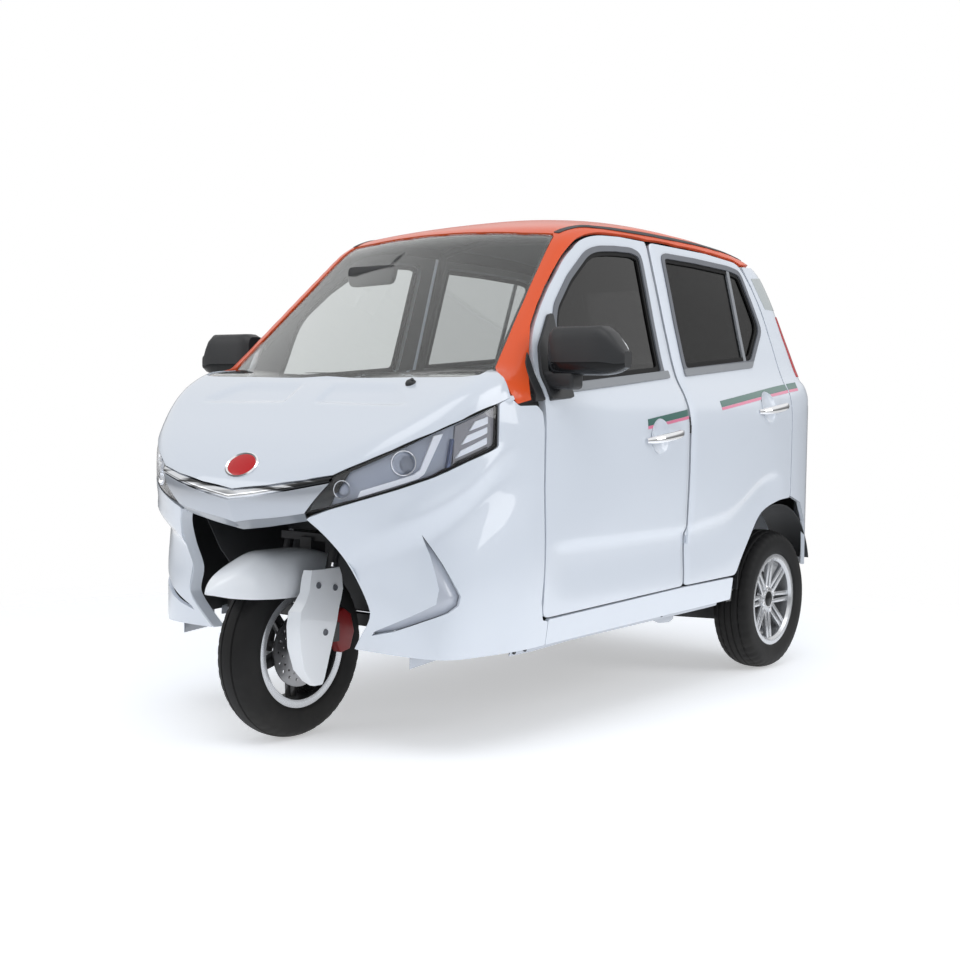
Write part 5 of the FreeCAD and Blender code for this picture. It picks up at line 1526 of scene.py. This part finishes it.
# %% Windscreen
half_screen = [(0, 1.502), (.15, 1.499), (.30, 1.490), (.40, 1.482), (.410, 1.474), (.438, 1.375),
               (.466, 1.26), (.494, 1.15), (.513, 1.074), (.524, 1.062), (.535, 1.052), (.531, 1.044),
               (.500, 1.0405), (.35, 1.0395), (.18, 1.0395), (0, 1.0395)]
SCREEN = both_halves(half_screen)
WIDE_SCREEN = rounded(inset(SCREEN, -.004), .012, 3)
screen = panel("windscreen_glass", "body", WIDE_SCREEN, front_view, (.03, .006), screen_glass, sunk(.004),
               (), .005, bevel=0)
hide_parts("windscreen")
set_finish(screen, "clear_glass")
CLEAR_PART = rounded(inset(SCREEN, .010), .02, 4)
panel("windscreen_frit", "body", WIDE_SCREEN, front_view, (.03, .006), gloss_black, sunk(.0105),
      [CLEAR_PART], .003, bevel=0)
washer_at = (.344, -.868, 1.020)
washer_foot = lathe([(-.004, 0), (-.004, .016), (.004, .015), (.010, .010), (.013, 0)], washer_at,
                    (0, -.35, .94), 28, False)
washer_jet = lathe([(.008, 0), (.008, .006), (.016, .005), (.018, 0)], washer_at, (.6, -.3, .75), 20, False)
shade(keep(joined([washer_foot, washer_jet]), "washer_nozzle", "body", black_plastic))

# %% Dark gutters along the roof
GUTTER = [(.402, -.268), (.424, -.268), (.436, -.205), (.446, -.10), (.449, .30), (.444, .70), (.432, .93),
          (.424, .93), (.436, .70), (.441, .30), (.437, -.10), (.418, -.19)]
gutter = panel("roof_gutter_left", "body", rounded(GUTTER, .006, 2), top_view, (.012, .03), black_plastic,
               sunk(-.0022), (), .004, bevel=.0008)
pair(gutter, "body")

# %% [markdown]
# Under the doors runs a white sill. Below and behind it a silver flange with three bolts closes the
# side, and two hangers and a black flap show under it.

# %% Sills
SILL = [(-.572, .282), (.552, .300), (.552, .378), (.20, .376), (-.572, .356)]
sill = panel("sill_left", "body", rounded(SILL, .006, 2), side_view, (.03, .012), white_paint, body_gap, (),
             .012)
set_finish(sill, "white_paint")
pair(sill, "body")
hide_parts("sills")
flange_line = [(-.712, .264), (-.60, .264), (-.42, .272), (-.20, .274), (.03, .278), (.43, .281),
               (.50, .283), (.50, .312), (-.60, .300), (-.704, .292)]
flange = panel("sill_flange_left", "body", rounded(flange_line, .004, 2), side_view, (.03, .02),
               silver_paint, sunk(.022), (), .004, bevel=.0008)
pair(flange, "body")
spots = lay([(-.692, .274), (-.640, .275), (.12, .290)], side_view, sunk(.022))
bolts = joined([lathe([(-.002, .0062), (.003, .0062), (.0045, .0045), (.0045, 0)], tuple(p), steps=12,
                      closed=False) for p in spots])
pair(shade(keep(bolts, "sill_flange_bolts_left", "body", black_plastic)), "body")
step_bracket = rounded([(.170, .268), (.350, .272), (.348, .244), (.320, .236), (.255, .240), (.20, .258)],
                       .006, 3)
front_tab = [(-.985, .310), (-.862, .310), (-.862, .260), (-.985, .250)]
hangers = joined([plate(step_bracket, .500, .504, bevel=.0008), plate(front_tab, .450, .453, bevel=.0006)])
pair(keep(hangers, "underside_brackets_left", "body", silver_paint), "body")
FLAP = rounded([(.500, .330), (.850, .330), (.850, .178), (.540, .222), (.500, .240)], .008, 3)
pair(keep(plate(FLAP, .396, .402, bevel=.001), "inner_flap_left", "body", black_plastic), "body")

# %% [markdown]
# The rear body goes in one sheet from the left wheel arch round the tail to the right one, with
# openings for the tailgate and the lamps. It is laid by angle about an upright axis. The tailgate's
# skin is drawn from behind, and its pane lies a little deeper.

# %% Rear body
arch_edge = [(1.011, .640), (1.06, .636), (1.12, .612), (1.18, .545), (1.215, .460), (1.232, .366)]
quarter_edge = [(1.011, .85), (1.011, 1.002), (1.003, 1.062), (.985, 1.185), (.961, 1.303), (.922, 1.395),
                (.890, 1.447), (.872, 1.478), (.90, 1.484), (.94, 1.486)]
quarter_edge = smooth_path([(*q, 0) for q in quarter_edge], 4)
rear_half = to_tail_turn(lay(arch_edge[::-1] + [(q.x, q.y) for q in quarter_edge], side_view))
gate_line = [(.392, 1.486), (.398, 1.43)] + [(.398 + .028 * k / 8, 1.43 - .368 * k / 8) for k in range(1, 9)]
gate_line += [(.426, 1.062 - .447 * k / 12) for k in range(1, 13)]
gate_edge = to_tail_turn(lay(gate_line, rear_view))
TAIL = [(.431, 1.078), (.556, 1.078), (.493, 1.308), (.427, 1.308)]
tail_hole = [TAIL[0], (.49, 1.078), TAIL[1], (.535, 1.155), (.514, 1.232), TAIL[2], (.46, 1.308), TAIL[3],
             (.428, 1.23), (.430, 1.15)]
tail_holes = [to_tail_turn(lay(tail_hole, rear_view) * (side, 1, 1)) for side in (1, -1)]
half_rear = [(0, .366)] + rear_half + gate_edge + [(0, .613)]
REAR_OUTLINE = both_halves(half_rear)
rear = panel("rear_body_skin", "body", REAR_OUTLINE, tail_turn, (1.3, .013), white_paint, side_gap,
             tail_holes, .014)
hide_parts("rear_body")
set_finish(rear, "white_paint")

# %% Tailgate
half_gate = [(0, .621), (.410, .621), (.420, .632), (.420, 1.062), (.392, 1.44), (.386, 1.482), (0, 1.490)]
GATE_OUTLINE = both_halves(half_gate)
half_pane = [(0, 1.122), (.365, 1.122), (.375, 1.135), (.350, 1.43), (.340, 1.438), (0, 1.442)]
PANE = both_halves(half_pane)
gate = panel("tailgate_skin", "tailgate", GATE_OUTLINE, rear_view, (.02, .014), white_paint, body_gap,
             [PANE], .020, cabin_grey)
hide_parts("tailgate")
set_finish(gate, "white_paint")
pane = panel("tailgate_pane", "tailgate", inset(PANE, .008), rear_view, (.05, .05), dark_glass, sunk(.006),
             (), .004, pane_glass, bevel=0)
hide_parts("tailgate_glass")

# %% [markdown]
# Tail lamps: a red lens over a dark tray beside the tailgate, with a clear and an amber field. The
# tailgate carries a blank plate, its lamp, a grip and a small lamp under the roof's lip.

# %% Tail lamps and tailgate fittings
tray = panel("tail_lamp_tray_left", "body", rounded(TAIL, .006, 2), rear_view, (.02, .02), gloss_black,
             sunk(.012), (), .010, bevel=0)
pair(tray, "body")
amber = finish("amber_lamp_field", (0.85, 0.27, 0.02), 0.18, 0.05, fixed={"Coat Weight": 1.0, "IOR": 1.5})
pale_field = finish("reversing_lamp_field", (0.72, 0.74, 0.78), 0.14, 0.05,
                    fixed={"Coat Weight": 1.0, "IOR": 1.5})
FIELDS = [("red_low", 1.082, 1.132, lens_red), ("amber", 1.136, 1.176, amber),
          ("pale", 1.180, 1.214, pale_field), ("red_high", 1.218, 1.304, lens_red)]
for label, low, high, material in FIELDS:
    wide = [.553 - (z - 1.078) * .274 for z in (low, high)]
    narrow = [.434 - (z - 1.078) * .017 for z in (low, high)]
    outline = rounded([(narrow[0], low), (wide[0], low), (wide[1], high), (narrow[1], high)], .005, 2)
    field = panel(f"tail_lamp_{label}_left", "body", outline, rear_view, (.012, .012), material,
                  sunk(.0015), (), .010, bevel=.0015)
    twin = pair(field, "body")
    if label == "red_low":
        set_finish(field, "lamp_red")
        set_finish(twin, "lamp_red")
        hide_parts("tail_lamps")
# the next two outlines are in degrees round the tail, and height
EDGE = [(43.4, 1.084), (47.2, 1.084), (47.3, 1.20), (47.6, 1.306), (44.6, 1.306)]
lamp_edge = panel("tail_lamp_edge_left", "body", EDGE, tail_turn, (.7, .013), lens_red, sunk(-.0018), (),
                  .003, bevel=0)
pair(lamp_edge, "body")
CORNER_PANE = [(41.5, 1.330), (52.3, 1.330), (54.3, 1.395), (55.6, 1.440), (46.5, 1.450), (43.5, 1.39)]
smoke = {"Coat Weight": 0.5, "Coat Roughness": 0.03}
corner_glass = finish("smoked_corner_glass", (0.46, 0.49, 0.48), 0.12, 0.04, fixed=smoke)
corner_pane = panel("corner_glass_left", "body", rounded(CORNER_PANE, .006, 2), tail_turn, (.9, .012),
                    corner_glass, sunk(-.0012), (), .003, bevel=.0006)
pair(corner_pane, "body")
FITTINGS = (  # name, outline, cell, finish, how far it stands out, holes, thickness, bevel
    ("rear_plate_blank", rounded(rectangle(-.165, .742, .165, .862), .010, 3), (.04, .04), belt_grey, .005,
     (), .005, .001),
    ("rear_plate_frame", rounded(rectangle(-.175, .732, .175, .872), .014, 3), (.04, .04), black_plastic,
     .008, [rounded(rectangle(-.160, .747, .160, .857), .008, 3)], .009, .0015),
    ("tailgate_grip", rounded([(-.20, .905), (.20, .905), (.19, .948), (-.19, .948)], .012, 3), (.02, .01),
     chrome, .012, (), .013, .003),
    ("plate_lamp_bar", rounded(rectangle(-.10, .885, .10, .900), .005, 2), (.02, .01), lens_clear, .006,
     (), .008, .001),
    ("high_brake_lamp", rounded([(-.11, 1.456), (.11, 1.456), (.108, 1.472), (-.108, 1.472)], .006, 2),
     (.02, .01), lens_red, .003, (), .008, .001),
    ("tailgate_seal", rounded(inset(PANE, -.006), .012, 3), (.03, .03), rubber, .002,
     [rounded(inset(PANE, .012), .010, 3)], .010, .0015),
)
for label, outline, cell, material, out, holes, thick, bevel in FITTINGS:
    panel(label, "tailgate", outline, rear_view, cell, material, sunk(-out), holes, thick, bevel=bevel)

# %% [markdown]
# Cabin: what shows through the glass. The dashboard is dressed with a binnacle and vents,
# the steering bar gets grips, levers and switch boxes, and a mirror hangs behind the windscreen.

# %% Dashboard, bar and cabin mirror
binnacle_rows = []
for k in range(13):
    t = k / 12
    high = .958 + .062 * math.sin(math.pi * min(1, t * .62))
    half = .115 + .030 * math.sin(math.pi * t * .5)
    turns = [math.pi * n / 20 for n in range(21)]
    binnacle_rows.append([(half * puffed(math.cos(a), .6) - .02, -.800 + .150 * t,
                           .945 + (high - .945) * math.sin(a) ** .7) for a in turns])
wall(keep(skin(binnacle_rows), "instrument_hood", "body", black_plastic), .004, .001)
dial = plate(rounded(rectangle(-.115, .938, .075, .982), .012, 4), -.766, -.760, axis="Y", bevel=.001)
keep(dial, "instrument_face", "body", gloss_black)
vents = []
for x in (-.42, -.28, .26, .42):
    for k in range(4):
        slat = rectangle(x - .045, .845 + k * .012, x + .045, .849 + k * .012)
        vents.append(plate(rounded(slat, .001, 1), -.556, -.538, axis="Y", bevel=0))
    outer = rounded(rectangle(x - .052, .838, x + .052, .892), .008, 3)
    inner = rounded(rectangle(x - .046, .843, x + .046, .887), .006, 3)
    vents.append(plate(outer, -.560, -.540, axis="Y", holes=[inner], bevel=.001))
shade(keep(joined(vents), "dashboard_vents", "body", gloss_black))
grips = []
for side in (-1, 1):
    start, end = Vector((side * .178, -.653, .990)), Vector((side * .262, -.541, .982))
    along = end - start
    points = [start + along * (k / 24) for k in range(25)]
    grips.append(tube(points, [.0165 + .0018 * (k % 2) for k in range(25)], 20))
    box_at = start - along * .22
    grips.append(tube([box_at + along * t for t in (-.14, -.12, 0, .12, .14)],
                      [.004, .021, .022, .021, .004], 20))
    bend = ((.004, -.020, -.006, 0), (.02, -.045, -.010, .3), (.03, -.042, -.012, 1.0),
            (.035, -.034, -.012, 1.25))
    lever = [box_at + Vector((side * x, y, z)) + along * share for x, y, z, share in bend]
    grips.append(tube(smooth_path(lever, 6), .0048, 10, 1.5))
shade(keep(joined(grips), "bar_grips_and_levers", "steering", black_plastic))
mirror_edge = rounded([(-.286, 1.336), (-.105, 1.342), (-.088, 1.404), (-.296, 1.404)], .022, 5)
shell = plate(mirror_edge, -.432, -.414, axis="Y", bevel=.004)
stem = tube(smooth_path([(-.120, -.420, 1.395), (-.108, -.398, 1.425), (-.098, -.372, 1.440)], 5), .008, 12)
keep(joined([shell, stem]), "cabin_mirror_shell", "body", black_plastic)
keep(plate(inset(mirror_edge, .007), -.414, -.4125, axis="Y", bevel=0), "cabin_mirror_glass", "body",
     reflector)
print("cabin dressed")

# %% [markdown]
# Seats: seven cushions. Each starts as an eased slab a little smaller than the finished cushion, is
# remeshed into even 6 mm cells and blown up by Blender's Cloth without gravity; no point may move
# further than its cap. All of them swell in the same twenty frames. Seams are pressed in afterwards.

# %% Cushion slabs
vinyl = finish("seat_vinyl", (0.030, 0.031, 0.034), 0.46, 0.10, 520, 0.00022, 0.0, {"Sheen Weight": 0.12})


def slab(low, high, bevel, taper=0):
    """An eased block that narrows upwards by a share of its width."""
    bm = block(low, high, bevel, 3)
    bmesh.ops.subdivide_edges(bm, edges=bm.edges[:], cuts=3, use_grid_fill=True)
    mid = (low[0] + high[0]) / 2
    for vert in bm.verts:
        share = (vert.co.z - low[2]) / (high[2] - low[2])
        vert.co.x = mid + (vert.co.x - mid) * (1 - taper * share)
    return bm


BACK_LEAN = math.radians(12)


def reclined(bm, y, z):
    """A back drawn upright from its foot, leant back and moved to its place."""
    bmesh.ops.rotate(bm, cent=(0, 0, 0), matrix=Matrix.Rotation(-BACK_LEAN, 3, "X"), verts=bm.verts[:])
    bmesh.ops.translate(bm, vec=(0, y, z), verts=bm.verts[:])
    return bm


DRIVER_BACK, REAR_BACK = (.200, .648), (.917, .650)  # where the backs are hinged, along and up
CUSHIONS = [  # name, slab, cap, CAD node
    ("driver_cushion", slab((-.205, -.172, .604), (.205, .244, .662), .024), .024, "driver_seat"),
    ("driver_backrest", reclined(slab((-.203, .016, .020), (.203, .074, .500), .024, .14), *DRIVER_BACK), .024, None),
    ("driver_headrest", reclined(slab((-.114, .024, .556), (.114, .074, .684), .020, .10), *DRIVER_BACK), .022, None),
    ("rear_cushion_left", slab((.012, .644, .580), (.380, .975, .672), .026), .024, "rear_seat"),
    ("rear_cushion_right", slab((-.380, .644, .580), (-.012, .975, .672), .026), .024, None),
    ("rear_backrest_left", reclined(slab((.012, .016, .050), (.380, .078, .500), .024), *REAR_BACK), .024, None),
    ("rear_backrest_right", reclined(slab((-.380, .016, .050), (-.012, .078, .500), .024), *REAR_BACK), .024, None),
]
pads = []
for label, bm, cap_by, node in CUSHIONS:
    pad = keep(bm, label, "body", vinyl)
    remesh = pad.modifiers.new("even_cells", "REMESH")
    remesh.mode, remesh.voxel_size = "VOXEL", .006
    even = bpy.data.meshes.new_from_object(pad.evaluated_get(bpy.context.evaluated_depsgraph_get()))
    pad.modifiers.clear()
    pad.data = even
    if not even.materials:
        even.materials.append(vinyl)
    for face in even.polygons:
        face.use_smooth = True
    pads.append((pad, cap_by))
    if node:
        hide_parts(node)
        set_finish(pad, "seat_cloth")
print("slabs", [len(pad.data.vertices) for pad, _ in pads])

# %% Swelling
def coordinates(mesh):
    values = np.empty(len(mesh.vertices) * 3, np.float32)
    mesh.vertices.foreach_get("co", values)
    return values.reshape(-1, 3)


starts = [coordinates(pad.data).copy() for pad, _ in pads]
for pad, _ in pads:
    swell = pad.modifiers.new("swell", "CLOTH")
    swell.settings.use_pressure = True
    swell.settings.uniform_pressure_force = 4
    swell.settings.effector_weights.gravity = 0
    swell.settings.quality = 4
    swell.collision_settings.use_collision = False
    swell.point_cache.frame_end = 20
for frame_number in range(1, 21):
    bpy.context.scene.frame_set(frame_number)
graph = bpy.context.evaluated_depsgraph_get()
for (pad, cap_by), start in zip(pads, starts):
    moved = coordinates(pad.evaluated_get(graph).data) - start
    far = np.linalg.norm(moved, axis=1, keepdims=True)
    moved *= np.minimum(1, cap_by / np.maximum(far, 1e-9))
    pad.modifiers.clear()
    pad.data.vertices.foreach_set("co", (start + moved).ravel())
    pad.data.update()
    print(pad.name, "swelled by up to", round(float(far.max()), 4))
bpy.context.scene.frame_set(1)

# %% Seams and channels
def press(pad, lines, depth, width, away):
    """Sinks the surface along lines; a line gives each point's distance, away says which way is out."""
    points = coordinates(pad.data)
    near = np.min([line(points) for line in lines], axis=0)
    sink = depth * np.exp(-(near / width) ** 2)
    normals = np.array([vert.normal for vert in pad.data.vertices])
    facing = np.clip(normals @ np.array(away), 0, 1)
    pad.data.vertices.foreach_set("co",
                                  (points - normals * (sink * facing)[:, None]).astype(np.float32).ravel())
    pad.data.update()


def across(value, axis=0):
    return lambda q: np.abs(q[:, axis] - value)


def up_back(value, base_z=.648, base_y=.200):
    """Distance from a level line on a reclined back."""
    rise, run = math.cos(BACK_LEAN), math.sin(BACK_LEAN)
    return lambda q: np.abs((q[:, 2] - base_z) * rise + (q[:, 1] - base_y) * run - value)


by_name = {pad.name: pad for pad, _ in pads}
UPWARDS, FORWARDS = (0, 0, 1), (0, -1, 0)
seat_lines = [across(-.135), across(.135), across(.115, 1), across(.02, 1), across(-.075, 1)]
back_lines = [across(-.125), across(.125)] + [up_back(v) for v in (.12, .20, .28, .36)]
press(by_name["driver_cushion"], seat_lines, .006, .006, UPWARDS)
press(by_name["driver_backrest"], back_lines, .006, .006, FORWARDS)
press(by_name["driver_headrest"], [up_back(.59), up_back(.65)], .003, .005, FORWARDS)
for side_name, sign in (("left", 1), ("right", -1)):
    channels = [across(sign * .08), across(sign * .31)]
    backs = channels + [up_back(v, .650, .917) for v in (.16, .26, .36)]
    press(by_name[f"rear_cushion_{side_name}"], channels + [across(.73, 1), across(.82, 1)], .006, .006,
          UPWARDS)
    press(by_name[f"rear_backrest_{side_name}"], backs, .006, .006, FORWARDS)
for pad, _ in pads[:3]:
    finer = pad.modifiers.new("finer", "SUBSURF")
    finer.levels = finer.render_levels = 1
UP_SLOPE, ALONG_SLOPE = .978, .208  # of a point that goes up the back, leant by 12 degrees
posts = []
for x in (-.06, .06):
    low, high = (Vector((x, .200 + .05 * UP_SLOPE + v * ALONG_SLOPE, .648 - .05 * ALONG_SLOPE
                         + v * UP_SLOPE)) for v in (.44, .62))
    posts.append(tube([low, low.lerp(high, .5), high], .006, 14))
shade(keep(joined(posts), "headrest_posts", "body", chrome))
base = [block((-.188, -.150, .332), (.188, .235, .575), .012, 3)]
for x in (-.15, .15):
    base.append(block((x - .018, -.165, .328), (x + .018, .250, .346), .004, 2))
base.append(block((-.200, -.160, .572), (.200, .242, .600), .008, 3))
shade(keep(joined(base), "driver_seat_base", "body", black_plastic))
shade(keep(block((-.375, .640, .562), (.375, .985, .590), .008, 3), "rear_seat_pan", "body", black_plastic))
print("seats done")

# %% [markdown]
# Black liners close the rear wheel arches. They are skins over arcs that open towards the rear, and
# stand clear of the tyre.

# %% Wheel arch liners
arch_rows = []
for x in (.438, .446, .50, .560, .580, .584):
    row = []
    for k in range(29):
        t = math.radians(26 + 142 * k / 28)
        r = .276 + .078 * math.sin(t) + .030 * max(0, -math.cos(t))
        row.append((x, .970 + r * math.cos(t), .256 + r * math.sin(t)))
    arch_rows.append(row)
arch = wall(keep(skin(arch_rows), "wheel_arch_liner_left", "body", black_plastic), .003, 0)
pair(arch, "body")

# %% [markdown]
# The CAD nodes that nothing replaces get the finish of their slot. The inner frame is black, but white
# where its hinge knuckles show in the gap between the doors.

# %% Finishes of the CAD nodes that stay
FINISHES = {"black_steel": frame_black, "black_plastic": black_plastic, "chrome_trim": chrome,
            "silver_paint": silver_paint, "white_paint": white_paint, "orange_paint": orange_paint,
            "tyre_rubber": rubber, "seat_cloth": black_plastic, "black_alloy": gloss_black,
            "silver_alloy": chrome, "lamp_clear": lens_clear, "lamp_red": lens_red,
            "clear_glass": screen_glass, "dark_glass": dark_glass}
slot_of = {s["node"]: s["material_slot"] for s in frame["record"]["subparts"]}
for name, node in frame["nodes"].items():
    for holder in node.material_slots:
        holder.material = FINISHES[slot_of[name]]
HINGES_OUTSIDE, HINGES_BELOW = .607, .75
steel_black, hinge_white = (0.03, 0.03, 0.032), (0.745, 0.785, 0.845)
cage_paint = finish("cage_steel_white_at_the_hinges", steel_black, 0.42, 0.15, 500, 0.00008)
cage_tree = cage_paint.node_tree
at = add(cage_tree, "ShaderNodeSeparateXYZ", {0: object_place(cage_tree)}).outputs
outside = math_node(cage_tree, "GREATER_THAN", math_node(cage_tree, "ABSOLUTE", at["X"]), HINGES_OUTSIDE)
hinge = math_node(cage_tree, "MULTIPLY", outside, math_node(cage_tree, "LESS_THAN", at["Z"], HINGES_BELOW))
cage_colors = {"Factor": hinge, "A": (*steel_black, 1), "B": (*hinge_white, 1)}
driven(cage_paint, "Base Color", add(cage_tree, "ShaderNodeMix", cage_colors,
                                     data_type="RGBA").outputs["Result"])
for holder in frame["nodes"]["cage_frame"].material_slots:
    holder.material = cage_paint
